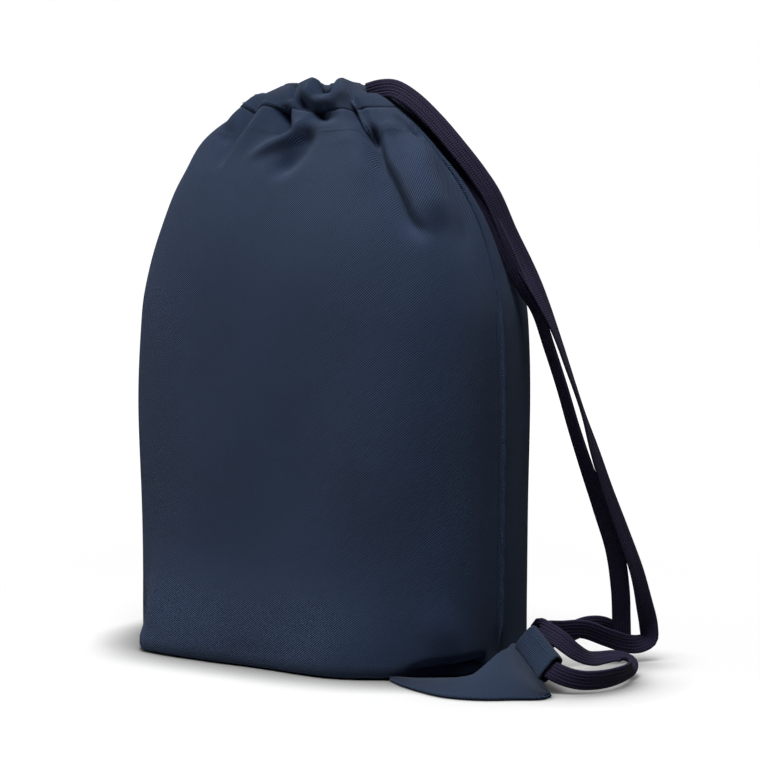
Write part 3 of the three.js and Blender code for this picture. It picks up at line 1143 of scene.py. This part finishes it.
@dataclass
class Sack:
    """Front and back cloth, the channel round the mouth and the seams.

    Attributes:
        palette: Finishes.
        form: Shape of the bag.
        cloth: Thickness of the cloth in metres.
        flat_width: Width of a panel before sewing, in metres.
        flat_length: Length of a panel below the channel, in metres.
        hem_length: Width of the channel, in metres; not used.
        hem_puff: How far the cord inside rounds the channel out, in millimetres.
        mouth_puff: The same on the rows inside the mouth.
    """

    palette: Palette
    form: BagForm
    cloth: float = 0.0011
    flat_width: float = 0.35
    flat_length: float = 0.43
    hem_length: float = 0.045
    hem_puff: float = 1.4
    mouth_puff: float = 0.5

    def build(self) -> None:
        """Build every cloth piece of the sack."""
        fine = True
        if not fine:
            self.form.columns = QUICK_COLUMNS
        surfaces = {half: self.form.displaced(half, fine) for half in Half}
        heights = self.form.grid(Half.FRONT, fine)[:, 0, 2]
        outer = len(heights) - len(self.form.rim)
        hem_row = int(np.searchsorted(heights[:outer], self.form.hem_z))
        for half, surface in surfaces.items():
            hem = self._channel(half, surface, hem_row)
            self._panel(half, surface, hem_row, hem)
            self._hem_stitches(half, surface, hem_row)
        for side in Side:
            self._side_seam(side, surfaces[Half.FRONT], hem_row)

    def _sheet_mesh(self, name: str, points: Array, first_v: float) -> bpy.types.Object:
        """Turn grid points into a cloth piece with cloth coordinates.

        Args:
            name: Name of the piece.
            points: Points, shape (rows, columns, 3).
            first_v: Cloth coordinate of the first row, in metres.

        Returns:
            The piece.
        """
        rows, columns = points.shape[:2]
        across = np.linspace(0.0, self.flat_width, columns)
        up = first_v + path_length(points[:, columns // 2]) * MM
        return make_mesh(name, points.reshape(-1, 3), grid_faces(rows, columns), grid_uvs(across, up))

    def _panel(self, half: Half, surface: Array, hem_row: int, hem: bpy.types.Object) -> None:
        """Cloth from the bottom seam to just under the channel.

        Args:
            half: Front or back.
            surface: Displaced grid of the half.
            hem_row: Row of the channel's lower edge.
            hem: The channel sewn to the panel; not used.
        """
        piece = self._sheet_mesh(f"{half.value}_cloth", surface[: hem_row + 1], 0.0)
        thicken(piece, self.cloth)
        piece.data.materials.append(self.palette.cloth)
        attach(piece, "bag")
        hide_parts(f"{half.value}_panel")

    def _channel(self, half: Half, surface: Array, hem_row: int) -> bpy.types.Object:
        """Turned and gathered hem, over the rim and down inside the mouth.

        Args:
            half: Front or back.
            surface: Displaced grid of the half.
            hem_row: Row of the channel's lower edge.

        Returns:
            The piece.
        """
        points = surface[hem_row:].copy()
        normals = self.form.normals(surface)[hem_row:]
        outer_rows = len(points) - len(self.form.rim)
        # The turned edge stands off the panel on the left and lies flush over the middle folds.
        edge = 0.02 + 0.5 * ramp(points[0, :, 0], -12.0, -20.0)
        puff = np.full(len(points), self.mouth_puff)
        puff[:outer_rows] = self.hem_puff * np.sin(np.linspace(0.0, np.pi, outer_rows))
        points += normals * (puff[:, None] + edge[None, :])[..., None]
        piece = self._sheet_mesh(f"{half.value}_hem", points, self.flat_length)
        thicken(piece, self.cloth)
        piece.data.materials.append(self.palette.hem)
        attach(piece, "bag")
        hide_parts(f"{half.value}_channel")
        return piece

    def _hem_stitches(self, half: Half, surface: Array, hem_row: int) -> None:
        """Row of stitches just above the channel's lower edge.

        Args:
            half: Front or back.
            surface: Displaced grid of the half.
            hem_row: Row of the channel's lower edge.
        """
        row = hem_row + 1
        line = surface[row] + self.form.normals(surface)[row] * HEM_STITCH_LIFT
        line = line[HEM_STITCH_MARGIN:-HEM_STITCH_MARGIN]
        if half is Half.FRONT:
            line = line[line[:, 0] < FRONT_STITCH_END]
        stitches = StitchRow(length=2.0, gap=0.9, radius=0.28)
        piece = stitches.build(f"{half.value}_hem_stitches", line, self.palette.thread)
        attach(piece, "bag")
        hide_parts(f"{half.value}_hem_stitch")

    def _side_seam(self, side: Side, surface: Array, hem_row: int) -> None:
        """Raised edge where front and back cloth are sewn together.

        Args:
            side: Right or left.
            surface: Displaced grid of the front half.
            hem_row: Row of the channel's lower edge.
        """
        column = 0 if side is Side.RIGHT else -1
        line = surface[SEAM_FIRST_ROW: hem_row - SEAM_STOP_ROWS, column]
        outward = np.array([1.0 if side is Side.RIGHT else -1.0, 0.0, 0.0])
        line = even_spacing(line + outward * 0.3, 2.5)
        tangent = unit(np.gradient(line, axis=0))
        away = unit(outward - tangent * (tangent @ outward)[:, None])
        flat = unit(np.cross(tangent, away))
        rows = len(line)
        fade = smoothstep(np.linspace(0, rows / 8, rows)) * smoothstep(np.linspace(rows / 10, 0, rows))
        ripple = 1.0 + 0.12 * np.sin(np.arange(rows) * 0.9)
        width = SEAM_SECTION[None, :, :1] * (0.4 + 0.6 * fade)[:, None, None]
        height = SEAM_SECTION[None, :, 1:] * (ripple * (0.3 + 0.7 * fade))[:, None, None]
        points = line[:, None] + flat[:, None] * width + away[:, None] * height
        count = len(SEAM_SECTION)
        uvs = grid_uvs(np.linspace(0, SEAM_ROUND, count), path_length(line) * MM)
        piece = make_mesh(f"{side.value}_seam_edge", points.reshape(-1, 3), tube_faces(rows, count), uvs)
        piece.data.materials.append(self.palette.cloth)
        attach(piece, "bag")
        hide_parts(f"{side.value}_side_seam")


@dataclass(frozen=True)
class StitchRow:
    """A row of sewn stitches, in millimetres.

    Attributes:
        length: Length of a stitch.
        gap: Space between stitches.
        radius: Half thickness of the thread.
    """

    length: float
    gap: float
    radius: float

    def build(self, name: str, line: Array, material: bpy.types.Material) -> bpy.types.Object:
        """Lay stitches along a line as one mesh.

        Args:
            name: Name of the piece.
            line: Points of the line, shape (n, 3).
            material: Thread finish.

        Returns:
            The piece.
        """
        travel = path_length(line)
        starts = np.arange(self.gap, travel[-1] - self.length, self.length + self.gap)
        shares = np.array([0.0, 0.12, 0.5, 0.88, 1.0])
        girth = np.array([0.25, 0.85, 1.0, 0.85, 0.25]) * self.radius
        sink = np.array([-0.5, -0.1, 0.15, -0.1, -0.5]) * self.radius
        sides = 6
        turn = 2 * np.pi * np.arange(sides) / sides
        stitch_faces = tube_faces(len(shares), sides)
        points, faces, uvs = [], [], []
        for start in starts:
            at = start + shares * self.length
            centre = np.stack([np.interp(at, travel, column) for column in line.T], axis=1)
            tangent = unit(np.gradient(centre, axis=0))
            across = unit(np.cross(tangent, np.array([0.0, 0.0, 1.0])))
            up = np.cross(across, tangent)
            ring = (
                (centre + up * sink[:, None])[:, None]
                + across[:, None] * (girth[:, None] * np.cos(turn))[..., None]
                + up[:, None] * (girth[:, None] * np.sin(turn))[..., None]
            )
            base = len(points) * sides * len(shares)
            points.append(ring.reshape(-1, 3))
            faces += [tuple(base + i for i in face) for face in stitch_faces]
            uvs.append(grid_uvs(turn * self.radius * MM, at * MM))
        piece = make_mesh(name, np.vstack(points), faces, np.vstack(uvs))
        piece.data.materials.append(material)
        return piece


# ---------------------------------------------------------------- bottom corner
@dataclass
class Corner:
    """Flattened bottom corner of the bag with its sewn tab.

    Attributes:
        palette: Finishes.
        side: Which corner.
        root: Where the flap leaves the bag, near the front.
        floor: Bend of the flap's edge on the floor.
        tip: Tip of the flap.
        apex: Upper end of the flap's sloping edge.
        heel: Where the flap leaves the bag, near the side seam.
        rise: Direction in which the tab stands up from the sloping edge.
        tab_place: Middle of the tab as a share of the sloping edge.
        tab_length: Length of the tab along the edge.
        tab_width: Width of the tab.
        tab_depth: Depth of the tab.
        tab_cloth: Thickness of the tab's cloth.
        tab_squareness: Power of the tab's cross-section; 1 is an ellipse, less is squarer.
    """

    palette: Palette
    side: Side
    root: Point = (86.0, -66.0, 2.4)
    floor: Point = (137.0, -86.0, 2.4)
    tip: Point = (189.5, -52.0, 3.2)
    apex: Point = (142.0, -13.0, 21.5)
    heel: Point = (127.0, -37.0, 2.8)
    rise: Point = (0.5, 0.31, 0.8)
    tab_place: float = 0.47
    tab_length: float = 40.0
    tab_width: float = 19.0
    tab_depth: float = 7.4
    tab_cloth: float = 1.2
    tab_squareness: float = 0.62

    def __post_init__(self) -> None:
        """Work out the directions of the tab."""
        apex = np.array(self.apex)
        edge = np.array(self.tip) - apex
        self.along = unit(edge)
        self.normal = unit(np.cross(self.along, np.array(self.rise)))
        self.out = unit(np.cross(self.normal, self.along))
        self.middle = apex + self.tab_place * edge + self.out * (self.tab_width / 2 - 0.5)

    def on_tab(self, along: float, across: float, above: float) -> Array:
        """Point given in the tab's own directions.

        Args:
            along: Distance along the tab's sleeve.
            across: Distance outwards from the flap.
            above: Distance over the flap.

        Returns:
            The point in millimetres.
        """
        return self.middle + along * self.along + across * self.out + above * self.normal

    def place(self, points: Array) -> Array:
        """Put right-corner points where this corner is.

        Args:
            points: Points of the right corner.

        Returns:
            Points of this corner.
        """
        return np.asarray(points, float) if self.side is Side.RIGHT else to_left(points)

    def faced(self, quads: list[tuple[int, ...]]) -> list[tuple[int, ...]]:
        """Keep faces pointing out after the corner is handed over.

        Args:
            quads: Faces of the right corner.

        Returns:
            Faces of this corner.
        """
        if self.side is Side.RIGHT:
            return quads
        return [tuple(reversed(quad)) for quad in quads]

    def build(self) -> None:
        """Build the flap, the tab and its stitches."""
        self._flap()
        self._tab()
        self._tab_stitches()

    def _flap(self) -> None:
        """Doubled cloth that lies out on the floor with a soft crown."""
        top = self._flap_top()
        floor = 0.35
        bottom = top.copy()
        bottom[..., 2] = floor
        lip = top[0] + (0.3, -0.9, 0.0)
        lip[:, 2] = np.maximum(0.5 * top[0, :, 2], floor)
        tail = top[-1] + (0.7, 0.9, -2.2)
        tail[:, 2] = np.maximum(tail[:, 2], floor)
        stack = np.stack([bottom[0], lip, *top, tail, bottom[-1]])
        count, columns = stack.shape[:2]
        faces: list[tuple[int, ...]] = grid_faces(count, columns)
        last = (count - 1) * columns
        faces += [(last + c, c, c + 1, last + c + 1) for c in range(columns - 1)]
        faces.append(tuple(r * columns for r in reversed(range(count))))
        faces.append(tuple(r * columns + columns - 1 for r in range(count)))
        faces = [tuple(reversed(f)) for f in faces]
        across = (stack[..., 0] - stack[..., 0].min()) * MM
        along = path_length(stack[:, columns // 2])[:, None] * MM + np.zeros_like(across)
        uvs = np.stack([across, along], axis=-1).reshape(-1, 2)
        piece = make_mesh(
            f"{self.side.value}_corner_flap", self.place(stack.reshape(-1, 3)), self.faced(faces), uvs
        )
        # The flap takes the darker twill: painted shade of the bag over it.
        piece.data.materials.append(self.palette.corner)
        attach(piece, "bag")
        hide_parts(f"{self.side.value}_ear")

    def _flap_top(self) -> Array:
        """Upper face of the flap between its front and back edges.

        Returns:
            Points, shape (rows, columns, 3).
        """
        columns, rows = 64, 26
        front = np.array([
            self.root, (99.0, -74.0, 2.4), (117.0, -81.5, 2.4), self.floor, (158.0, -81.0, 2.4),
            (175.0, -69.5, 2.4), (188.5, -59.5, 2.6), self.tip,
        ])
        back = np.array([
            self.root, (101.0, -58.0, 2.6), (115.0, -48.0, 2.6), self.heel, (135.0, -23.0, 6.0),
            self.apex, (164.0, -31.0, 14.5), self.tip,
        ])
        front, back = (resample(spline(edge, 1.0), columns) for edge in (front, back))
        share = np.linspace(0.0, 1.0, columns)[None]
        t = np.linspace(0.0, 1.0, rows)[:, None]
        top = front[None] * (1 - t[..., None]) + back[None] * t[..., None]
        crown = 3.2 * np.sin(np.pi * t) * np.sin(np.pi * share) ** 0.8
        wrinkle = 0.8 * np.sin(9.0 * share + 3.5 * t) * np.sin(np.pi * t)
        dip = 2.2 * np.exp(-(((share - 0.5) / 0.16) ** 2)) * np.exp(-(((t - 0.92) / 0.12) ** 2))
        top[..., 2] += crown + wrinkle - dip
        return top

    def _tab(self) -> None:
        """Folded sleeve of cloth, open at both ends."""
        sides, rows = 40, 22
        turn = 2 * np.pi * np.arange(sides) / sides
        circle = np.stack([np.cos(turn), np.sin(turn)], axis=1)
        ring = np.sign(circle) * np.abs(circle) ** self.tab_squareness
        length = np.linspace(-0.5, 0.5, rows) * self.tab_length
        layers = []
        for order, cloth in ((length, 0.0), (length[::-1], self.tab_cloth)):
            for along in order:
                flare = 1.0 + 0.05 * (2 * along / self.tab_length) ** 2
                half_width = self.tab_width / 2 * (1.0 + 0.01 * math.sin(along * 0.5)) - cloth
                half_depth = self.tab_depth / 2 * flare - cloth
                layers.append(np.array([self.on_tab(along, half_width * u, half_depth * v) for u, v in ring]))
        points = np.stack(layers + [layers[0]])
        faces = grid_faces(len(points), sides, wrap=True)
        uvs = grid_uvs(turn * 8 * MM, np.linspace(0, 2 * self.tab_length * MM, len(points)))
        name = f"{self.side.value}_cord_tab"
        piece = make_mesh(name, self.place(points.reshape(-1, 3)), self.faced(faces), uvs)
        self._weld(piece)
        # The tab takes the darker twill: painted shade of the bag over it.
        piece.data.materials.append(self.palette.corner)
        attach(piece, "bag")
        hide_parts(f"{self.side.value}_tab")

    @staticmethod
    def _weld(piece: bpy.types.Object) -> None:
        """Join coinciding vertices.

        Args:
            piece: The piece to weld.
        """
        weld = piece.modifiers.new("weld", "WELD")
        weld.merge_threshold = 0.00002

    def _tab_stitches(self) -> None:
        """Row of stitches along the tab's free long edge."""
        across = self.tab_width / 2 - 3.6
        above = self.tab_depth / 2 + 0.12
        line = np.array([self.on_tab(x, across, above) for x in np.linspace(-13.0, 13.0, 30)])
        row = StitchRow(length=1.9, gap=0.8, radius=0.3)
        piece = row.build(f"{self.side.value}_tab_stitches", self.place(line), self.palette.thread)
        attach(piece, "bag")
        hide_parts(f"{self.side.value}_tab_stitch")


# ---------------------------------------------------------------- cords
# Rings on either side over which the cord's turn is averaged, and its least height over the floor.
TURN_BLUR = 3
CORD_CLEARANCE = 0.4
# The cord's way through the tab as (along it, above its middle).
TAB_STOPS = ((20.0, 0.0), (8.0, -0.3), (-4.0, -0.8), (-11.0, -2.0), (-14.5, -6.0))


@dataclass(frozen=True)
class CordSize:
    """Size of the flat braid, in millimetres.

    Attributes:
        width: Width of the cord.
        thickness: Thickness of the cord.
        ribs: Lengthwise ribs on each face.
        rib_height: Height of a rib.
    """

    width: float = 12.0
    thickness: float = 3.0
    ribs: int = 6
    rib_height: float = 0.5

    def section(self) -> Array:
        """Outline of the cord across its length.

        Returns:
            Points as (across, through), counter-clockwise.
        """
        steps = self.ribs * 5
        across = np.linspace(1.0, -1.0, steps + 1)
        plump = np.sqrt(np.clip(1 - np.abs(across) ** 5, 0, 1))
        rib = np.abs(np.cos(0.5 * np.pi * self.ribs * (across + 1))) ** 0.7
        half = (self.thickness / 2 - self.rib_height) * plump + self.rib_height * (1 - rib) * plump
        upper = np.stack([across * self.width / 2, half], axis=1)
        lower = np.stack([-across * self.width / 2, -half], axis=1)
        return np.vstack([upper, lower[1:-1]])


@dataclass
class FlatCord:
    """One length of flat braid.

    Attributes:
        name: Name of the piece.
        knots: Points it passes with the roll of its flat side in degrees, shape (n, 4).
        facing: Direction that the flat side faces at roll 0.
        size: Size of the braid.
        spacing: Distance between the mesh's rings.
    """

    name: str
    knots: Array
    facing: Point
    size: CordSize = field(default_factory=CordSize)
    spacing: float = 2.2

    def centre(self) -> Array:
        """Centre line with rolls, kept above the floor.

        Returns:
            Points, shape (n, 4).
        """
        line = spline(self.knots, self.spacing)
        width, normal = self._directions(line)
        reach = np.abs(width[:, 2]) * self.size.width / 2 + np.abs(normal[:, 2]) * self.size.thickness / 2
        line[:, 2] = np.maximum(line[:, 2], reach + CORD_CLEARANCE)
        return line

    def _directions(self, line: Array) -> tuple[Array, Array]:
        """Width and thickness directions along the line.

        Args:
            line: Centre line with rolls.

        Returns:
            Two arrays of unit vectors.
        """
        tangent = unit(np.gradient(line[:, :3], axis=0))
        facing = unit(np.array(self.facing, float))
        edge = unit(np.cross(tangent, facing[None]))
        through = np.cross(edge, tangent)
        roll = np.radians(line[:, 3])[:, None]
        width = edge * np.cos(roll) + through * np.sin(roll)
        normal = np.cross(width, tangent)
        kernel = np.ones(2 * TURN_BLUR + 1) / (2 * TURN_BLUR + 1)
        for column in range(3):
            padded = np.pad(width[:, column], TURN_BLUR, mode="edge")
            width[:, column] = np.convolve(padded, kernel, mode="valid")
        width = unit(width - tangent * np.sum(width * tangent, axis=1, keepdims=True))
        normal = unit(np.cross(width, tangent))
        return width, normal

    def build(self, material: bpy.types.Material) -> bpy.types.Object:
        """Sweep the braid along its line.

        Args:
            material: Braid finish.

        Returns:
            The piece.
        """
        line = self.centre()
        width, normal = self._directions(line)
        section = self.size.section()
        points = (
            line[:, None, :3]
            + width[:, None] * section[None, :, :1]
            + normal[:, None] * section[None, :, 1:]
        )
        count = len(section)
        girth = path_length(np.column_stack([section, np.zeros(count)])) * MM
        uvs = grid_uvs(girth, path_length(line) * MM)
        piece = make_mesh(self.name, points.reshape(-1, 3), tube_faces(len(line), count), uvs)
        piece.data.materials.append(material)
        return piece

    def length(self) -> float:
        """Length of the cord.

        Returns:
            Metres along the centre line.
        """
        return float(path_length(self.centre())[-1]) * MM

    def path(self) -> list[list[float]]:
        """Centre line in the row frame.

        Returns:
            Points in metres.
        """
        return to_frame(self.centre()[:, :3]).tolist()


# Routes of the cords in millimetres from the bag's axis, each point with the roll of the flat side.
RIGHT_FRONT_STRAND = (
    (31, -4, 361.5, 0), (40, -4, 363.5, 0), (49.5, -3, 363.5, 5), (61, -1, 357.5, 10), (76, 2, 344, 10),
    (93.5, 5, 324.5, 8), (105.5, 8, 309, 5), (114, 10, 296, 5), (124, 13, 273, 5), (134, 15, 254, 15),
    (143, 16, 238, 40), (154, 18, 214, 68), (162, 22, 189, 76), (169, 27, 164, 82),
    (175, 33, 138, 60), (180, 41, 113, 50), (186, 50, 87, 42), (192, 59.5, 60, 38), (194, 67, 38, 20),
    (194.5, 73, 22, -5),
)
RIGHT_REAR_STRAND = (
    (33, 4, 361.5, 0), (42, 4, 361.5, 0), (50, 5, 357, 5), (64, 6, 346, 10), (83, 7, 325, 20),
    (97, 8, 305, 25), (109, 9, 288, 25), (121, 11, 266, 30), (134, 13, 241, 45), (143, 15, 226, 58),
    (150, 18, 204, 60), (157.5, 22, 178, 60), (163.5, 27, 152, 56), (169.5, 33, 127, 50),
    (175.5, 41, 101, 38), (181, 50, 74, 18), (182, 57, 47, 5), (181, 61, 27, 0), (181, 62, 14, 0),
)
INNER_BAND = (
    (180.5, 64, 8.5, 0), (178, 64, 15, 0), (173, 54, 23, 5), (167, 42, 25, 5), (160, 27, 22, 10),
    (155, 10, 20.5, 15), (153.5, -1, 21.5, 20), (156, -8, 23.5, 30),
)
OUTER_BAND = (
    (190, 15.5, 12, 60), (188, 2, 14, 50), (183, -7, 19, 35), (173, -10, 26.5, 20),
    (162, -7, 30, 10), (154.5, 1, 30, 5), (153, 9, 27, 5), (158, 20, 25, 5), (168, 34, 24, 5),
    (178, 46, 18, 5), (186, 57, 13, -5), (191, 67, 11.5, -20), (194.5, 73, 14, -25),
)
FLOOR_LOOP = (
    (194, -39, 10.5, 0), (202, -34, 8.5, 5), (209, -25, 8, 10), (213, -12, 8, 15), (213, 4, 8, 25),
    (209, 18, 9, 40), (202, 26, 11, 60), (195.5, 24, 12, 65),
)
LEFT_FRONT_STRAND = (
    (-46, -4, 353.5, 0), (-54.5, -3.5, 353.3, 0), (-61, 2, 352, 0), (-66, 10, 349, 0),
    (-68, 24, 344, 0), (-65, 40, 334, 0), (-61, 52, 315, 0), (-57, 61, 295, 0), (-53, 69, 268, 0),
    (-49, 76, 240, 10), (-45, 82, 200, 20), (-41, 88, 150, 25), (-36, 97, 100, 15),
    (-31, 107, 60, 5), (-27, 115, 35, 0), (-26, 119, 14, 0),
)
LEFT_REAR_STRAND = (
    (-46, 4, 353.5, 0), (-54.5, 4, 354, 0), (-58, 11, 356, 0), (-59, 20, 355, 0), (-57, 36, 347, 0),
    (-54, 50, 333, 0), (-51, 63, 315, 0), (-47, 71, 292, 0), (-43, 79, 265, 0), (-39, 85, 235, 15),
    (-35, 92, 195, 35), (-30, 101, 150, 45), (-25, 111, 100, 30), (-19, 121, 60, 15),
    (-16, 129, 38, 5), (-15, 134, 20, 0),
)


@dataclass
class ShoulderCord:
    """One shoulder cord: a closed loop through the channel and the corner tab.

    Attributes:
        palette: Finishes.
        corner: Corner whose tab the cord passes.
        facing: Direction that the flat side faces at roll 0.
    """

    palette: Palette
    corner: Corner
    facing: Point

    def build(self) -> None:
        """Build the free cord and its run inside the channel."""
        self._free_cord()
        self._channel_run()

    def _knots(self) -> Array:
        """Points of the free cord from the front exit round to the rear exit.

        Returns:
            Points with rolls, shape (n, 4).
        """
        side = self.corner.side
        tab = [(*self.corner.on_tab(along, 0.0, above), 0.0) for along, above in TAB_STOPS]
        lower = np.array([*reversed(OUTER_BAND), *reversed(FLOOR_LOOP), *tab, *reversed(INNER_BAND)], float)
        if side is Side.RIGHT:
            front, rear = RIGHT_FRONT_STRAND, RIGHT_REAR_STRAND
            return np.vstack([np.array(front, float), lower, np.array(rear, float)[::-1]])
        lower[:, :3] = to_left(lower[:, :3])
        front, rear = LEFT_FRONT_STRAND, LEFT_REAR_STRAND
        return np.vstack([np.array(rear, float), lower, np.array(front, float)[::-1]])

    def _free_cord(self) -> None:
        """Both strands, the bands on the floor and the loop through the tab."""
        side = self.corner.side.value
        cord = FlatCord(f"{side}_shoulder_cord", self._knots(), self.facing)
        piece = cord.build(self.palette.cord)
        top, foot = cord.path()[0], min(cord.path(), key=lambda p: p[2])
        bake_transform(piece)
        parts = ("front_strand", "rear_strand", "inner_band", "outer_band", "tab_run", "floor_loop")
        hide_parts(*(f"{side}_cord_{part}" for part in parts))
        cord.length()
        cord.path()
        LOG.info("%s cord %.3f m", side, cord.length())

    def _channel_run(self) -> None:
        """The part of the cord that lies inside the gathered channel."""
        side = self.corner.side
        sign, z = (1.0, 360.0) if side is Side.RIGHT else (-1.0, 352.0)
        middle, exit_reach, exit_half_gap, half_width, half_depth = -6.0, 38.0, 4.0, 25.0, 7.5
        upright = 90.0
        turn = np.radians(np.arange(22, 340, 12))
        loop = np.stack([middle + sign * half_width * np.cos(turn), half_depth * np.sin(turn)], axis=1)
        way_out = middle + sign * exit_reach
        plan = np.vstack([(way_out, exit_half_gap), loop, (way_out, -exit_half_gap)])
        knots = np.column_stack([plan, np.full(len(plan), z), np.full(len(plan), upright)])
        size = CordSize(width=5.0, thickness=1.6, rib_height=0.2)
        cord = FlatCord(f"{side.value}_channel_cord", knots, (0.0, 0.0, 1.0), size)
        piece = cord.build(self.palette.cord)
        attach(piece, "bag")
        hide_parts(f"{side.value}_cord_channel_run")


# ---------------------------------------------------------------- studio
@dataclass(frozen=True)
class SoftLight:
    """A square soft light aimed at the middle of the bag.

    Attributes:
        name: Name of the light.
        place: Position in metres.
        size: Side of the light in metres.
        power: Power in watts.
    """

    name: str
    place: Point
    size: float
    power: float

    def build(self) -> None:
        """Add the light to the scene."""
        data = bpy.data.lights.new(self.name, "AREA")
        data.shape = "SQUARE"
        data.size = self.size
        data.energy = self.power
        light = bpy.data.objects.new(self.name, data)
        light.location = self.place
        aim = Vector((0.0, 0.0, 0.18)) - Vector(self.place)
        light.rotation_euler = aim.to_track_quat("-Z", "Y").to_euler()
        bpy.context.scene.collection.objects.link(light)


@dataclass(frozen=True)
class Studio:
    """Floor, lights and camera.

    Attributes:
        camera_place: Camera position in metres from the bag's axis.
        camera_target: Point the camera looks at.
        lens: Focal length in millimetres.
        sensor: Width of the sensor in millimetres.
        lights: High key from the front left, light from above and a weak one behind.
        surround: Strength of the even white surround.
        floor_radius: Radius of the level floor in metres.
        curve_radius: Radius of the curve by which it turns up.
        wall_height: Height of the wall round it.
        floor_sides: Sides of the round floor.
    """

    camera_place: Point = (0.8127, -1.2403, 0.3154)
    camera_target: Point = (0.0271, 0.0169, 0.1763)
    lens: float = 108.4
    sensor: float = 36.0
    lights: tuple[SoftLight, ...] = (
        SoftLight("key", (-2.0, -1.05, 1.4), 1.0, 17.0),
        SoftLight("overhead", (0.22, -0.6, 2.35), 0.8, 57.0),
        SoftLight("rear", (-0.4, 2.2, 1.9), 1.6, 8.0),
    )
    surround: float = 0.03
    floor_radius: float = 5.0
    curve_radius: float = 2.0
    wall_height: float = 6.0
    floor_sides: int = 72

    def build(self) -> None:
        """Make everything that isn't the object."""
        self._camera()
        self._floor()
        self._lights()

    def _camera(self) -> None:
        """Camera at the product's front right."""
        data = bpy.data.cameras.new("studio camera")
        data.lens = self.lens
        data.sensor_width = self.sensor
        camera = bpy.data.objects.new("studio camera", data)
        place = Vector(self.camera_place) + Vector(BAG_AXIS)
        target = Vector(self.camera_target) + Vector(BAG_AXIS)
        camera.location = place
        camera.rotation_euler = (target - place).to_track_quat("-Z", "Y").to_euler()
        bpy.context.scene.collection.objects.link(camera)
        bpy.context.scene.camera = camera

    def _floor(self) -> None:
        """Wide pale floor that curves up far behind the bag on every side."""
        rings = [(r, 0.0) for r in (0.6, 1.5, 3.0, self.floor_radius)]
        for angle in np.linspace(0.0, math.pi / 2, 9)[1:]:
            out = self.floor_radius + self.curve_radius * math.sin(angle)
            rings.append((out, self.curve_radius * (1 - math.cos(angle))))
        rings.append((self.floor_radius + self.curve_radius, self.wall_height))
        sides = self.floor_sides
        vertices = [(0.0, 0.0, 0.0)]
        for radius, height in rings:
            for turn in 2 * math.pi * np.arange(sides) / sides:
                vertices.append((radius * math.cos(turn), radius * math.sin(turn), height))
        faces: list[tuple[int, ...]] = [(0, 1 + i, 1 + (i + 1) % sides) for i in range(sides)]
        for start in range(1, 1 + (len(rings) - 1) * sides, sides):
            for i in range(sides):
                j = (i + 1) % sides
                faces.append((start + i, start + sides + i, start + sides + j, start + j))
        mesh = bpy.data.meshes.new("floor")
        mesh.from_pydata(vertices, [], faces)
        mesh.polygons.foreach_set("use_smooth", np.ones(len(mesh.polygons), dtype=bool))
        floor = bpy.data.objects.new("floor", mesh)
        bpy.context.scene.collection.objects.link(floor)
        mesh.materials.append(StageFinish().build())

    def _lights(self) -> None:
        """Soft lights and an even white surround."""
        for light in self.lights:
            light.build()
        world = bpy.data.worlds.new("surround")
        world.use_nodes = True
        background = world.node_tree.nodes["Background"]
        background.inputs["Color"].default_value = WHITE
        background.inputs["Strength"].default_value = self.surround
        bpy.context.scene.world = world
        bpy.context.scene.view_settings.view_transform = "Standard"


class Backpack:
    """The whole object."""

    def __init__(self) -> None:
        """Set up the finishes and the sub-assemblies."""
        self.palette = Palette()
        form = BagForm(folds={Half.FRONT: front_folds(), Half.BACK: back_folds()})
        self.sack = Sack(self.palette, form)
        self.corners = [Corner(self.palette, side) for side in Side]
        facings = {Side.RIGHT: (0.53, -0.85, 0.08), Side.LEFT: (-0.25, 0.97, 0.05)}
        self.cords = [ShoulderCord(self.palette, corner, facings[corner.side]) for corner in self.corners]

    def build(self) -> None:
        """Build the cords, the sack and the corners."""
        for cord in self.cords:
            cord.build()
        self.sack.build()
        for corner in self.corners:
            corner.build()


def main() -> None:
    """Build the studio and the backpack."""
    logging.basicConfig(level=logging.INFO)
    Studio().build()
    Backpack().build()


if __name__ == "__main__":
    main()
